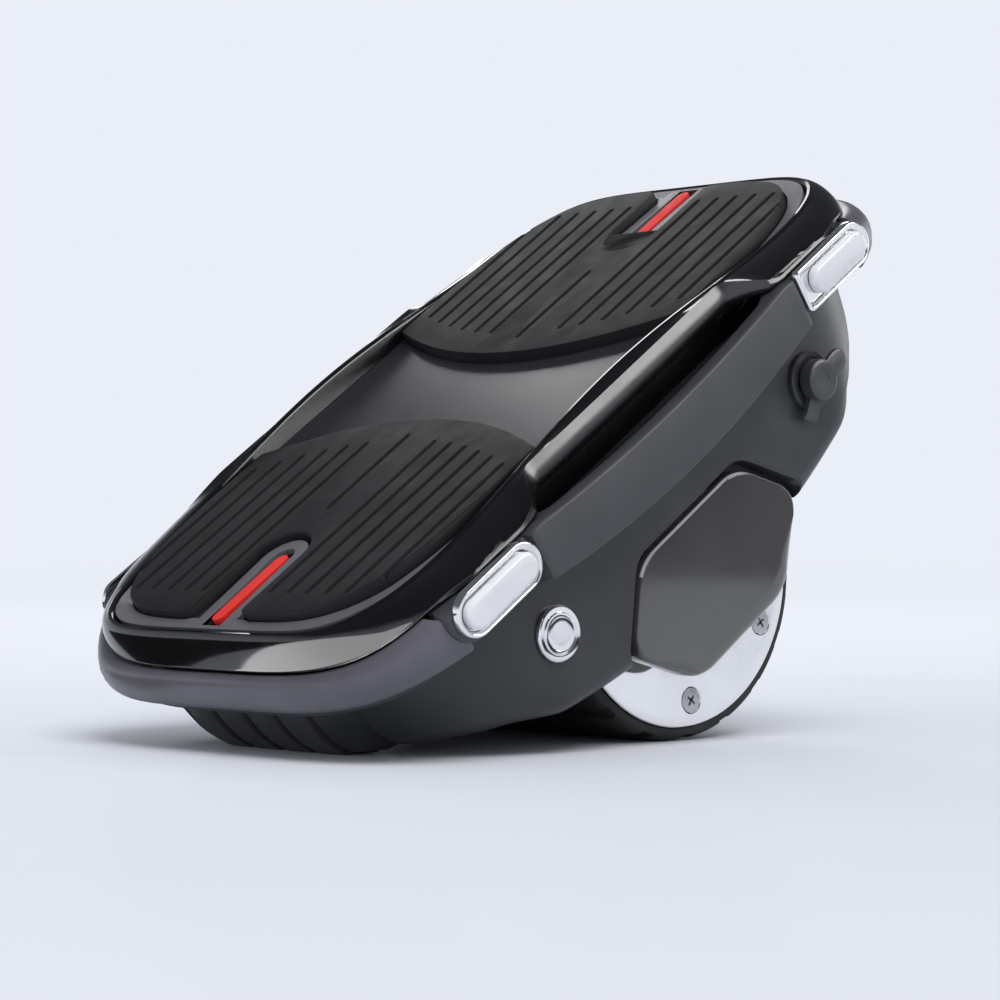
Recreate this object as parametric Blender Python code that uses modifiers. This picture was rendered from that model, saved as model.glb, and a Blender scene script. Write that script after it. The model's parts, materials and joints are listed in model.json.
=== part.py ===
"""One hover shoe: a self-balancing shoe over a wide hub-motor wheel, parked with its heel foot on the ground.

Every piece is modelled in the shoe's own frame, whose origin is the middle of the axle. In it +X points
to the toe, +Y to the far side and +Z square to the deck. The near side, -Y, has the power button and the
charge port. The shoe frame is then tilted about the axle until the heel foot meets the ground."""

import math

import bmesh
import bpy
from mathutils import Matrix, Vector

MM = 0.001
GAP = 0.3 * MM
ENDS = {"heel": -1, "toe": 1}
SIDES = {"near": -1, "far": 1}

# Wheel and hub motor
TYRE_RADIUS = 55 * MM
TYRE_HALF_WIDTH = 56.5 * MM
TREAD_DEPTH = 1.6 * MM
TREAD_BLOCKS = 18
TREAD_GROOVE = 3.2 * MM
HUB_RADIUS = 50.5 * MM
HUB_HALF_WIDTH = 58.5 * MM
HUB_WALL = 4 * MM
HUB_DISH = 1.5 * MM
MAGNET_THICKNESS = 2.5 * MM
MAGNET_COUNT = 30
MOTOR_HALF_LENGTH = 32 * MM
STATOR_TEETH = 18
HUB_SCREW_COUNT = 6
HUB_SCREW_CIRCLE = 42 * MM
HUB_SCREW_HEAD = 8.3 * MM
HUB_SCREW_SHANK = 4 * MM
HUB_SCREW_FIRST_ANGLE = math.radians(-58.5)
AXLE_DIAMETER = 12 * MM
BEARING_DIAMETER = 28 * MM
BEARING_WIDTH = 8 * MM
AXLE_NUT_ACROSS_FLATS = 19 * MM
AXLE_NUT_HEIGHT = 5 * MM

# Deck frame, the gloss tray that the feet stand in
DECK_HALF_LENGTH = 134 * MM
DECK_HALF_WIDTH = 73.3 * MM
DECK_POWER = 6
DECK_HEIGHT = 74 * MM
DECK_ARCH = 7 * MM
DECK_ARCH_HALF_LENGTH = 110 * MM
DECK_WALL = 1.6 * MM
TRAY_FLOOR = 69 * MM
BAND_HALF_LENGTH = 139 * MM
BAND_HALF_WIDTH = 92 * MM
BAND_SIDE = 86.5 * MM
BAND_POWER = 4
BAND_END_HEIGHT = 62 * MM
BAND_SIDE_HEIGHT = 69.6 * MM
WAIST_HALF_WIDTH = 77 * MM
WAIST_HEIGHT = 78.6 * MM
WAIST_START = 72 * MM
WAIST_END = 50 * MM
RECESS_HALF_WIDTH = 70 * MM
SKIRT_HALF_LENGTH = 130 * MM
SKIRT_HALF_WIDTH = 76.7 * MM
SKIRT_POWER = 4.5
SCALLOP_LIP_WIDTH = 73.2 * MM
SCALLOP_FOOT_WIDTH = 70.8 * MM
FRAME_BOTTOM = 58.5 * MM
GASKET = 1.2 * MM

# Trim plate, pads and markers
PLATE_HEIGHT = 73 * MM
LIP_HEIGHT = 74 * MM
PAD_HEIGHT = 77 * MM
PAD_HALF_LENGTH = 127.5 * MM
PAD_HALF_WIDTH = 69.2 * MM
PAD_POWER = 5
PAD_INNER_X = 20 * MM
PAD_INNER_SWEEP = 19 * MM
PAD_CORNER = 3 * MM
PAD_GROOVE_PITCH = 9 * MM
PAD_GROOVE_WIDTH = 2.4 * MM
PAD_GROOVE_DEPTH = 1.4 * MM
PAD_GROOVES_PER_SIDE = 6
PAD_GROOVE_OUTER_X = 116 * MM
PAD_GROOVE_MARGIN = 13 * MM
CENTRE_GROOVE_END = 71 * MM
TONGUE_TIP_X = 85 * MM
TONGUE_HALF_WIDTH = 12 * MM
SLOT_TIP_X = 91 * MM
SLOT_HALF_WIDTH = 4.7 * MM
SLOT_OUTER_X = 130.5 * MM
MARKER_TIP_X = 95 * MM
MARKER_OUTER_X = 128.5 * MM
MARKER_HALF_WIDTH = 2.6 * MM
MARKER_HEIGHT = 73.5 * MM

# Light diffusers that wrap each end
DIFFUSER_BULGE_LENGTH = 144 * MM
DIFFUSER_BULGE_WIDTH = 93.5 * MM
DIFFUSER_BULGE_HEIGHT = 58 * MM
DIFFUSER_BOTTOM_LENGTH = 141.7 * MM
DIFFUSER_BOTTOM_WIDTH = 92 * MM
DIFFUSER_BOTTOM = 50 * MM
DIFFUSER_WALL = 3 * MM
DIFFUSER_TIP_X = 111 * MM
LED_BOARD_THICKNESS = 1.2 * MM
LED_BOARD_HEIGHT = 6 * MM
LED_BOARD_CLEARANCE = 0.8 * MM

# Lower shell
SHELL_SIDE = 77 * MM
SHELL_STRAIGHT = 75 * MM
SHELL_END_POWER = 2.4
SHELL_SHOULDER = 49 * MM
SHELL_LEDGE_LENGTH = 139.5 * MM
SHELL_LEDGE_WIDTH = 89.5 * MM
SHELL_LEDGE_FULL_X = 118 * MM
SHELL_LEDGE_THICKNESS = 3 * MM
BELLY_LOW = -6.5 * MM
BELLY_RISE = 13.5 * MM
BELLY_REACH = 90 * MM
BELLY_FILLET = 8 * MM
WHEEL_CLEARANCE = 3.5 * MM
BAY_INNER_X = TYRE_RADIUS + WHEEL_CLEARANCE + 1 * MM
BAY_OUTER_X = 99 * MM
BAY_HALF_WIDTH = 62 * MM
BAY_FLOOR = 16 * MM

# Side rails with their finger recess
RAIL_FACE = 90 * MM
RAIL_END_FACE = 88 * MM
RAIL_END_X = 110.5 * MM
RAIL_WALL = 5.5 * MM
RAIL_TOP = 64.5 * MM
RAIL_TOP_RISE = 5 * MM
RAIL_BOTTOM = 43.5 * MM
RAIL_BOTTOM_RISE = 8 * MM
RAIL_REACH = 79 * MM
RAIL_FLOOR = 3.5 * MM
RAIL_GAP = 2.2 * MM

# Pill-shaped side badges
PILL_CENTRE_X = 91.5 * MM
PILL_CENTRE_Z = 61.3 * MM
PILL_LENGTH = 38 * MM
PILL_INNER_X = PILL_CENTRE_X - PILL_LENGTH / 2
PILL_HEIGHT = 15 * MM
PILL_DEPTH = 2.6 * MM
PILL_RIM = 2.2 * MM
BADGE_DEPTH = 2.8 * MM

# Feet under each end
FOOT_HALF_WIDTH = 45 * MM
FOOT_CONTACT_X = 126.5 * MM
FOOT_CONTACT_Z = 22 * MM
FOOT_FLAT_LENGTH = 8 * MM
FOOT_TOP = 45.2 * MM
FOOT_CORNER = 15 * MM
FOOT_CORNER_SWEEP = 7.5 * MM
FOOT_RIBS = 6
FOOT_GROOVE_WIDTH = 3.6 * MM
FOOT_GROOVE_DEPTH = 2.6 * MM

# Hexagonal axle covers
HEX_FACE = 75.4 * MM
HEX_BACK = 67.4 * MM
HEX_SIDE_X = 46.5 * MM
HEX_TOP_X = 27 * MM
HEX_TOP_Z = 24 * MM
HEX_BOTTOM_X = 25 * MM
HEX_BOTTOM_Z = -24 * MM
HEX_MARGIN = 3 * MM
HEX_CORNER = 5 * MM

# Chassis bracket
CHASSIS_THICKNESS = 4.5 * MM
CHASSIS_LEG_FACE = 67 * MM
CHASSIS_LEG_HALF_WIDTH = 21 * MM
CHASSIS_PLATE_HALF_LENGTH = 40 * MM
CHASSIS_TOP = 63.5 * MM

# Power button and charge port in the near side
CONTROL_X = 70.8 * MM
CONTROL_Z = 29 * MM
BUTTON_HEAD = 18 * MM
BUTTON_BODY = 15.6 * MM
BUTTON_BODY_LENGTH = 22 * MM
BUTTON_CAP = 11 * MM
BUTTON_TRAVEL = 2 * MM
BUTTON_NUT = 18.6 * MM
PORT_FLANGE = 20 * MM
PORT_BODY = 14 * MM
PORT_BORE = 10.5 * MM
PORT_BODY_LENGTH = 20 * MM
CAP_DIAMETER = 14 * MM
CAP_THICKNESS = 5 * MM

# Battery and boards
BATTERY_SIZE = (36 * MM, 108 * MM, 36 * MM)
BOARD_SIZE = (38 * MM, 96 * MM, 1.6 * MM)
SWITCH_BOARD_SIZE = (44 * MM, 100 * MM, 1.6 * MM)

GLOSS_BLACK = ((0.012, 0.012, 0.014), 0.12, 0.0)
SATIN_GREY = ((0.055, 0.056, 0.06), 0.38, 0.0)
MATTE_GREY = ((0.03, 0.031, 0.034), 0.5, 0.0)
RUBBER_BLACK = ((0.02, 0.02, 0.021), 0.75, 0.0)
SMOKE = ((0.16, 0.16, 0.18), 0.25, 0.0)
CHROME = ((0.85, 0.85, 0.86), 0.08, 1.0)
STEEL = ((0.5, 0.5, 0.5), 0.35, 1.0)
ALUMINIUM = ((0.62, 0.62, 0.63), 0.4, 1.0)
WHITE = ((0.82, 0.83, 0.85), 0.3, 0.0)
RED = ((0.75, 0.02, 0.01), 0.35, 0.0)
BOARD_GREEN = ((0.02, 0.14, 0.06), 0.5, 0.0)
WRAP_BLUE = ((0.03, 0.08, 0.3), 0.5, 0.0)


def smooth(value, start, end):
    """0 before start, 1 past end and an S-shaped step between, in either direction."""
    share = min(1.0, max(0.0, (value - start) / (end - start)))
    return share * share * (3 - 2 * share)


def mix(low, high, share):
    return low + (high - low) * share


# Scene, materials and placing
def clear_scene():
    for leftover in list(bpy.data.objects):
        bpy.data.objects.remove(leftover, do_unlink=True)


def new_collection(name):
    collection = bpy.data.collections.new(name)
    bpy.context.scene.collection.children.link(collection)
    return collection


def new_empty(name, parent, location=(0, 0, 0)):
    empty = bpy.data.objects.new(name, None)
    empty.location = location
    empty.parent = parent
    PARTS.objects.link(empty)
    return empty


def paint(obj, finish):
    colour, roughness, metallic = finish
    material = bpy.data.materials.new(f"{obj.name}_finish")
    material.use_nodes = True
    shader = material.node_tree.nodes["Principled BSDF"]
    shader.inputs["Base Color"].default_value = (*colour, 1)
    shader.inputs["Roughness"].default_value = roughness
    shader.inputs["Metallic"].default_value = metallic
    obj.data.materials.clear()
    obj.data.materials.append(material)


def add_piece(name, skin, finish, parent=None, location=(0, 0, 0), smooth_angle=35):
    """A named piece from a bmesh skin, in the shoe's frame or under another parent."""
    mesh = bpy.data.meshes.new(name)
    skin.to_mesh(mesh)
    skin.free()
    mesh.shade_smooth()
    mesh.set_sharp_from_angle(angle=math.radians(smooth_angle))
    piece = bpy.data.objects.new(name, mesh)
    piece.parent = parent or SHOE
    piece.location = location
    PARTS.objects.link(piece)
    paint(piece, finish)
    return piece


def add_cutter(name, skin, location=(0, 0, 0)):
    mesh = bpy.data.meshes.new(name)
    skin.to_mesh(mesh)
    skin.free()
    cutter = bpy.data.objects.new(name, mesh)
    cutter.parent = SHOE
    cutter.location = location
    cutter.hide_render = True
    cutter.display_type = "WIRE"
    CUTTERS.objects.link(cutter)
    return cutter


def cut(piece, *cutters, operation="DIFFERENCE"):
    for cutter in cutters:
        boolean = piece.modifiers.new(f"{operation.title()} {cutter.name}", "BOOLEAN")
        boolean.operation = operation
        boolean.object = cutter


def round_edges(piece, width, segments=2, angle=40):
    bevel = piece.modifiers.new("Rounded edges", "BEVEL")
    bevel.width = width
    bevel.segments = segments
    bevel.limit_method = "ANGLE"
    bevel.angle_limit = math.radians(angle)


# Basic skins
def box_skin(low, high):
    skin = bmesh.new()
    middle = (Vector(low) + Vector(high)) / 2
    size = Vector(high) - Vector(low)
    bmesh.ops.create_cube(skin, size=1, matrix=Matrix.Translation(middle) @ Matrix.Diagonal((*size, 1)))
    return skin


def rod_skin(radius, start, end, sides=32, end_radius=None):
    """A closed cylinder or cone between two points."""
    start = Vector(start)
    along = Vector(end) - start
    turn = along.to_track_quat("Z", "Y").to_matrix().to_4x4()
    skin = bmesh.new()
    bmesh.ops.create_cone(
        skin,
        cap_ends=True,
        segments=sides,
        radius1=radius,
        radius2=radius if end_radius is None else end_radius,
        depth=along.length,
        matrix=Matrix.Translation(start + along / 2) @ turn,
    )
    return skin


def prism_skin(outline, start_y, end_y):
    """A flat outline of (x, z) points, filled and extruded across the shoe between two planes of y."""
    curve = bpy.data.curves.new("outline", "CURVE")
    curve.dimensions = "2D"
    curve.fill_mode = "BOTH"
    curve.extrude = abs(end_y - start_y) / 2
    spline = curve.splines.new("POLY")
    spline.points.add(len(outline) - 1)
    for point, (x, z) in zip(spline.points, outline):
        point.co = (x, z, 0, 1)
    spline.use_cyclic_u = True
    holder = bpy.data.objects.new("outline", curve)
    CUTTERS.objects.link(holder)
    mesh = bpy.data.meshes.new_from_object(holder.evaluated_get(bpy.context.evaluated_depsgraph_get()))
    skin = bmesh.new()
    skin.from_mesh(mesh)
    bmesh.ops.remove_doubles(skin, verts=skin.verts, dist=0.001 * MM)
    upright = Matrix.Translation((0, (start_y + end_y) / 2, 0)) @ Matrix.Rotation(math.radians(90), 4, "X")
    bmesh.ops.transform(skin, matrix=upright, verts=skin.verts)
    bmesh.ops.recalc_face_normals(skin, faces=skin.faces)
    bpy.data.objects.remove(holder, do_unlink=True)
    bpy.data.curves.remove(curve)
    bpy.data.meshes.remove(mesh)
    return skin


def turned_piece(name, profile, finish, parent, steps=48):
    """A ring or disc turned about the axle from a closed profile of (radius, y) points."""
    area = sum(r0 * y1 - r1 * y0 for (r0, y0), (r1, y1) in zip(profile, profile[1:] + profile[:1]))
    if area < 0:
        profile = profile[::-1]
    skin = bmesh.new()
    points = [skin.verts.new((radius, 0, -y)) for radius, y in profile]
    for here, there in zip(points, points[1:] + points[:1]):
        skin.edges.new((here, there))
    piece = add_piece(name, skin, finish, parent)
    piece.rotation_euler = (math.radians(90), 0, 0)
    screw = piece.modifiers.new("Turned", "SCREW")
    screw.axis = "Z"
    screw.steps = steps
    screw.render_steps = steps
    screw.use_merge_vertices = True
    screw.merge_threshold = 0.01 * MM
    screw.use_smooth_shade = True
    return piece


def stadium(length, height, steps=6, square_start=False):
    """(x, z) points of a pill outline about its middle; a square start has corners instead of a round end."""
    radius = height / 2
    reach = length / 2 - radius
    right = [(-90 + 180 * i / steps) for i in range(steps + 1)]
    outline = [
        (reach + radius * math.cos(math.radians(a)), radius * math.sin(math.radians(a))) for a in right
    ]
    if square_start:
        return outline + [(-length / 2 + 0.6 * MM, radius), (-length / 2, -radius)]
    return outline + [(-x, -z) for x, z in outline]


def rounded_polygon(corners, radius, steps=4):
    """The polygon's outline with each corner replaced by an arc that meets both its sides."""
    outline = []
    for i, corner in enumerate(corners):
        corner = Vector(corner)
        before = (Vector(corners[i - 1]) - corner).normalized()
        after = (Vector(corners[(i + 1) % len(corners)]) - corner).normalized()
        half = before.angle(after) / 2
        reach = radius / math.tan(half)
        centre = corner + (before + after).normalized() * (radius / math.sin(half))
        first = corner + before * reach - centre
        last = corner + after * reach - centre
        for step in range(steps + 1):
            share = step / steps
            arm = first.lerp(last, share).normalized() * radius
            outline.append(tuple(centre + arm))
    return outline


def turn_at(x, z, angle):
    """A turn about the line along y through (x, z)."""
    return Matrix.Translation((x, 0, z)) @ Matrix.Rotation(angle, 4, "Y") @ Matrix.Translation((-x, 0, -z))


# Lofts between plan rings
END_STATIONS = (0, 0.22, 0.42, 0.58, 0.71)
SHELL_END_STATIONS = (0, 0.18, 0.34, 0.48, 0.6)
SIDE_STATIONS = (0.92, 0.87, 0.8, 0.72, 0.62, 0.53, 0.485, 0.44, 0.385, 0.28, 0.14, 0)


def quarter(power):
    """Unit points of a superellipse's quarter, from its end (1, 0) to its side (0, 1)."""
    ends = [((1 - v**power) ** (1 / power), v) for v in END_STATIONS]
    sides = [(u, (1 - u**power) ** (1 / power)) for u in SIDE_STATIONS]
    return ends + sides


def whole_ring(points, height):
    """A closed ring from the (x, y) points of its toe and far quarter; height is a function of |x|."""
    around = points + [(-x, y) for x, y in points[-2::-1]]
    around += [(x, -y) for x, y in around[-2:0:-1]]
    return [(x, y, height(abs(x))) for x, y in around]


def plan_ring(length, width, power, height, limit=BAND_HALF_WIDTH):
    """A superelliptic ring; width is a function of |x|, and no point is wider than the limit."""
    points = [(length * u, min(width(length * u) * v, limit)) for u, v in quarter(power)]
    return whole_ring(points, height)


def shell_width(x, length, width):
    """Half width at x of a plan with straight sides and blunt ends."""
    share = max(0.0, x - SHELL_STRAIGHT) / (length - SHELL_STRAIGHT)
    return width * (1 - share**SHELL_END_POWER) ** (1 / SHELL_END_POWER)


def shell_ring(length, width, height):
    """A ring of the lower shell, with as many points as a superelliptic ring."""
    span = length - SHELL_STRAIGHT
    ends = []
    for share in SHELL_END_STATIONS:
        reach = (1 - share**SHELL_END_POWER) ** (1 / SHELL_END_POWER)
        ends.append((SHELL_STRAIGHT + span * reach, width * share))
    sides = [(length * u, shell_width(length * u, length, width)) for u in SIDE_STATIONS]
    return whole_ring(ends + sides, height)


def always(value):
    return lambda x: value


def ring_loft(rings):
    """A closed skin over a stack of plan rings. Both ends are closed by strips straight across the shoe."""
    skin = bmesh.new()
    layers = [[skin.verts.new(point) for point in ring] for ring in rings]
    count = len(rings[0])
    for above, below in zip(layers, layers[1:]):
        for i in range(count):
            j = (i + 1) % count
            skin.faces.new((above[i], above[j], below[j], below[i]))
    for layer in (layers[0], layers[-1]):
        half = count // 2
        skin.faces.new((layer[0], layer[1], layer[-1]))
        for i in range(1, half - 1):
            skin.faces.new((layer[i], layer[i + 1], layer[count - i - 1], layer[count - i]))
        skin.faces.new((layer[half - 1], layer[half], layer[half + 1]))
    bmesh.ops.recalc_face_normals(skin, faces=skin.faces)
    return skin


def section_loft(sections):
    """A closed skin through cross sections that all have the same count of points."""
    skin = bmesh.new()
    layers = [[skin.verts.new(point) for point in section] for section in sections]
    count = len(sections[0])
    for here, there in zip(layers, layers[1:]):
        for i in range(count):
            j = (i + 1) % count
            skin.faces.new((here[i], here[j], there[j], there[i]))
    caps = [skin.faces.new(layers[0]), skin.faces.new(layers[-1])]
    bmesh.ops.triangulate(skin, faces=caps)
    bmesh.ops.recalc_face_normals(skin, faces=skin.faces)
    return skin


# Heights and widths of the moulded body, as functions of |x|
def ridge_height(x):
    if x >= DECK_ARCH_HALF_LENGTH:
        return DECK_HEIGHT
    return DECK_HEIGHT + DECK_ARCH * math.cos(math.pi / 2 * x / DECK_ARCH_HALF_LENGTH) ** 2


def scallop(x):
    """1 in the waist and 0 towards the ends."""
    return smooth(x, WAIST_START, WAIST_END)


def band_width(x):
    return mix(BAND_HALF_WIDTH, WAIST_HALF_WIDTH, scallop(x))


def band_height(x):
    side = mix(BAND_SIDE_HEIGHT, WAIST_HEIGHT, scallop(x))
    return mix(side, BAND_END_HEIGHT, smooth(x, 100 * MM, 136 * MM))


def skirt_width(x):
    return mix(SKIRT_HALF_WIDTH, RECESS_HALF_WIDTH, scallop(x))


def belly_height(x):
    return BELLY_LOW + BELLY_RISE * (x / BELLY_REACH) ** 2


def rail_top(x):
    return RAIL_TOP + RAIL_TOP_RISE * (x / RAIL_REACH) ** 2


def rail_bottom(x):
    return RAIL_BOTTOM + RAIL_BOTTOM_RISE * (x / RAIL_REACH) ** 2


# Deck
def deck_frame():
    """The gloss tray: its rings run from its floor over the rim, down the band and in to the skirt."""

    def waist_mix(end_value, waist_value):
        return lambda x: mix(end_value, waist_value, scallop(x))

    def below_ridge(drop):
        return lambda x: ridge_height(x) - drop

    def below_band(end_drop, waist_drop):
        return lambda x: band_height(x) - mix(end_drop, waist_drop, scallop(x))

    def shoulder(x):
        return mix(ridge_height(x), band_height(x), mix(0.42, 0.3, scallop(x)))

    length = DECK_HALF_LENGTH
    width = DECK_HALF_WIDTH
    wall_length = DECK_HALF_LENGTH - DECK_WALL
    wall_width = DECK_HALF_WIDTH - DECK_WALL
    edge = BAND_SIDE
    lip = BAND_SIDE - 0.6 * MM
    foot = SKIRT_HALF_WIDTH + 2 * MM
    middle_power = (DECK_POWER + BAND_POWER) / 2
    rings = [
        (wall_length, always(wall_width - 0.4 * MM), DECK_POWER, always(TRAY_FLOOR), edge),
        (wall_length + 0.2 * MM, always(wall_width), DECK_POWER, below_ridge(1.4 * MM), edge),
        (length - 0.8 * MM, always(width - 1.2 * MM), DECK_POWER, below_ridge(0.3 * MM), edge),
        (length, always(width), DECK_POWER, ridge_height, edge),
        (length + 0.9 * MM, always(width + 1.1 * MM), DECK_POWER, below_ridge(0.5 * MM), edge),
        (
            mix(length, BAND_HALF_LENGTH, 0.62),
            lambda x: mix(width, band_width(x), 0.62),
            middle_power,
            shoulder,
            edge,
        ),
        (BAND_HALF_LENGTH, band_width, BAND_POWER, band_height, edge),
        (
            BAND_HALF_LENGTH - 0.8 * MM,
            lambda x: band_width(x) - 0.6 * MM,
            BAND_POWER,
            below_band(1.2 * MM, 1.2 * MM),
            lip,
        ),
        (
            SKIRT_HALF_LENGTH + 2 * MM,
            waist_mix(foot, SCALLOP_LIP_WIDTH),
            SKIRT_POWER,
            below_band(1.4 * MM, 6 * MM),
            foot,
        ),
        (
            SKIRT_HALF_LENGTH,
            waist_mix(SKIRT_HALF_WIDTH, SCALLOP_FOOT_WIDTH),
            SKIRT_POWER,
            below_band(2.2 * MM, 12 * MM),
            foot,
        ),
        (SKIRT_HALF_LENGTH, skirt_width, SKIRT_POWER, always(FRAME_BOTTOM), foot),
    ]
    piece = add_piece("deck_frame", ring_loft([plan_ring(*ring) for ring in rings]), GLOSS_BLACK)
    plate_well = add_cutter(
        "chassis_well",
        box_skin(
            (-CHASSIS_PLATE_HALF_LENGTH - GAP, -CHASSIS_LEG_FACE - GAP, FRAME_BOTTOM - 1 * MM),
            (CHASSIS_PLATE_HALF_LENGTH + GAP, CHASSIS_LEG_FACE + GAP, CHASSIS_TOP + GAP),
        ),
    )
    cut(piece, plate_well)
    board_length, board_width, thickness = SWITCH_BOARD_SIZE
    for end, sign in ENDS.items():
        middle = sign * (PAD_INNER_X + PAD_HALF_LENGTH) / 2
        reach = board_length / 2 + GAP
        side = board_width / 2 + GAP
        well = box_skin(
            (middle - reach, -side, TRAY_FLOOR - thickness - 2 * GAP),
            (middle + reach, side, TRAY_FLOOR + 2 * MM),
        )
        cut(piece, add_cutter(f"{end}_switch_well", well))


def pad_outline(sign, grow=0.0):
    """(x, y) points of one pad, or of its window when grown, with a keyhole for the tongue."""
    unit = quarter(PAD_POWER)
    length = PAD_HALF_LENGTH + grow
    width = PAD_HALF_WIDTH + grow
    inner_share = (PAD_INNER_X + PAD_INNER_SWEEP) / length
    key = TONGUE_HALF_WIDTH + GAP - grow
    outer = [(length * u, width * v) for u, v in unit if u > inner_share and width * v > key + PAD_CORNER]
    steps = 7
    far_y = width * 0.995
    inner = []
    for i in range(2 * steps + 1):
        y = far_y * (1 - i / steps)
        inner.append((PAD_INNER_X + PAD_INNER_SWEEP * (y / PAD_HALF_WIDTH) ** 2 - grow, y))
    tip_x = TONGUE_TIP_X - GAP + grow
    keyhole = [(length, key), (tip_x + key, key)]
    arc_steps = 8
    arc = []
    for i in range(1, arc_steps):
        angle = math.pi / 2 - math.pi * i / arc_steps
        arc.append((tip_x + key - key * math.cos(angle), key * math.sin(angle)))
    mouth = keyhole + arc + [(x, -y) for x, y in reversed(keyhole)]
    far_side = outer
    near_side = [(x, -y) for x, y in reversed(outer)]
    around = far_side + inner + near_side
    return [(sign * x, y) for x, y in around + list(reversed(mouth))]


def flat_skin(outline, low, high):
    """An (x, y) outline filled and raised from low to high."""
    skin = prism_skin(outline, -high, -low)
    bmesh.ops.transform(skin, matrix=Matrix.Rotation(math.radians(-90), 4, "X"), verts=skin.verts)
    bmesh.ops.recalc_face_normals(skin, faces=skin.faces)
    return skin


def tongue_outline(half_width, tip_x, outer_x, steps=8):
    """(x, y) points of a strip along the shoe with a round inner end."""
    round_end = []
    for i in range(steps + 1):
        angle = math.pi / 2 + math.pi * i / steps
        round_end.append((tip_x + half_width + half_width * math.cos(angle), half_width * math.sin(angle)))
    return [(outer_x, half_width)] + round_end + [(outer_x, -half_width)]


def trim_plate():
    """The satin plate on the tray floor: a raised lip at each end, a window a pad and a slot a tongue."""
    length = DECK_HALF_LENGTH - DECK_WALL - GAP
    width = DECK_HALF_WIDTH - DECK_WALL - 0.4 * MM - GAP

    def top(x):
        return mix(PLATE_HEIGHT, LIP_HEIGHT, smooth(x, PAD_HALF_LENGTH - 22 * MM, PAD_HALF_LENGTH))

    rings = [
        plan_ring(length, always(width), DECK_POWER, top),
        plan_ring(length, always(width), DECK_POWER, always(TRAY_FLOOR + GAP)),
    ]
    piece = add_piece("trim_plate", ring_loft(rings), SATIN_GREY)
    for end, sign in ENDS.items():
        window = flat_skin(pad_outline(sign, 0.4 * MM), TRAY_FLOOR - 1 * MM, PAD_HEIGHT + 1 * MM)
        slot_points = [(sign * x, y) for x, y in tongue_outline(SLOT_HALF_WIDTH, SLOT_TIP_X, SLOT_OUTER_X)]
        slot = flat_skin(slot_points, PLATE_HEIGHT - 1.6 * MM, PAD_HEIGHT + 1 * MM)
        cut(piece, add_cutter(f"{end}_pad_window", window), add_cutter(f"{end}_marker_slot", slot))
    return piece


def pad(end, sign):
    skin = flat_skin(pad_outline(sign), PLATE_HEIGHT - 2.4 * MM, PAD_HEIGHT)
    piece = add_piece(f"{end}_pad", skin, RUBBER_BLACK)
    round_edges(piece, 0.9 * MM, segments=1, angle=50)
    grooves = []
    for row in range(1, PAD_GROOVES_PER_SIDE + 1):
        y = (row + 0.9) * PAD_GROOVE_PITCH
        inner_x = PAD_INNER_X + PAD_INNER_SWEEP * (y / PAD_HALF_WIDTH) ** 2 + PAD_GROOVE_MARGIN
        outer_x = PAD_GROOVE_OUTER_X - 0.05 * max(0.0, y - 40 * MM) - 8 * MM * (row == PAD_GROOVES_PER_SIDE)
        grooves += [(y, inner_x, outer_x), (-y, inner_x, outer_x)]
    grooves.append((0.0, PAD_INNER_X + PAD_GROOVE_MARGIN - 3 * MM, CENTRE_GROOVE_END))
    cutters = bmesh.new()
    for y, inner_x, outer_x in grooves:
        half = PAD_GROOVE_WIDTH / 2
        outline = [
            (sign * inner_x, y - half * 0.5),
            (sign * outer_x, y - half * 0.5),
            (sign * (outer_x + half), y),
            (sign * outer_x, y + half * 0.5),
            (sign * inner_x, y + half * 0.5),
            (sign * (inner_x - half), y),
        ]
        groove = flat_skin(outline, PAD_HEIGHT - PAD_GROOVE_DEPTH, PAD_HEIGHT + 1 * MM)
        wide = [v for v in groove.verts if v.co.z > PAD_HEIGHT]
        for vert in wide:
            vert.co.y = y + (vert.co.y - y) * 2.6
        mesh = bpy.data.meshes.new("groove")
        groove.to_mesh(mesh)
        groove.free()
        cutters.from_mesh(mesh)
        bpy.data.meshes.remove(mesh)
    cut(piece, add_cutter(f"{end}_pad_grooves", cutters))
    return piece


def marker(end, sign):
    outline = [(sign * x, y) for x, y in tongue_outline(MARKER_HALF_WIDTH, MARKER_TIP_X, MARKER_OUTER_X, 6)]
    skin = flat_skin(outline, PLATE_HEIGHT - 1.6 * MM + GAP, MARKER_HEIGHT)
    piece = add_piece(f"{end}_marker", skin, RED)
    round_edges(piece, 0.4 * MM, segments=1, angle=50)
    return piece


# Light diffusers and their boards
def end_path(length, width, power, start_x):
    """(x, y) points round one end of a plan curve, from its far side to its near side."""
    first_share = (start_x + 2 * MM) / SKIRT_HALF_LENGTH
    quarter_points = [(length * u, width * v) for u, v in quarter(power) if u > first_share]
    last_y = width * (1 - (start_x / length) ** power) ** (1 / power)
    side = quarter_points + [(start_x, last_y)]
    return list(reversed(side)) + [(x, -y) for x, y in side[1:]]


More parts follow.
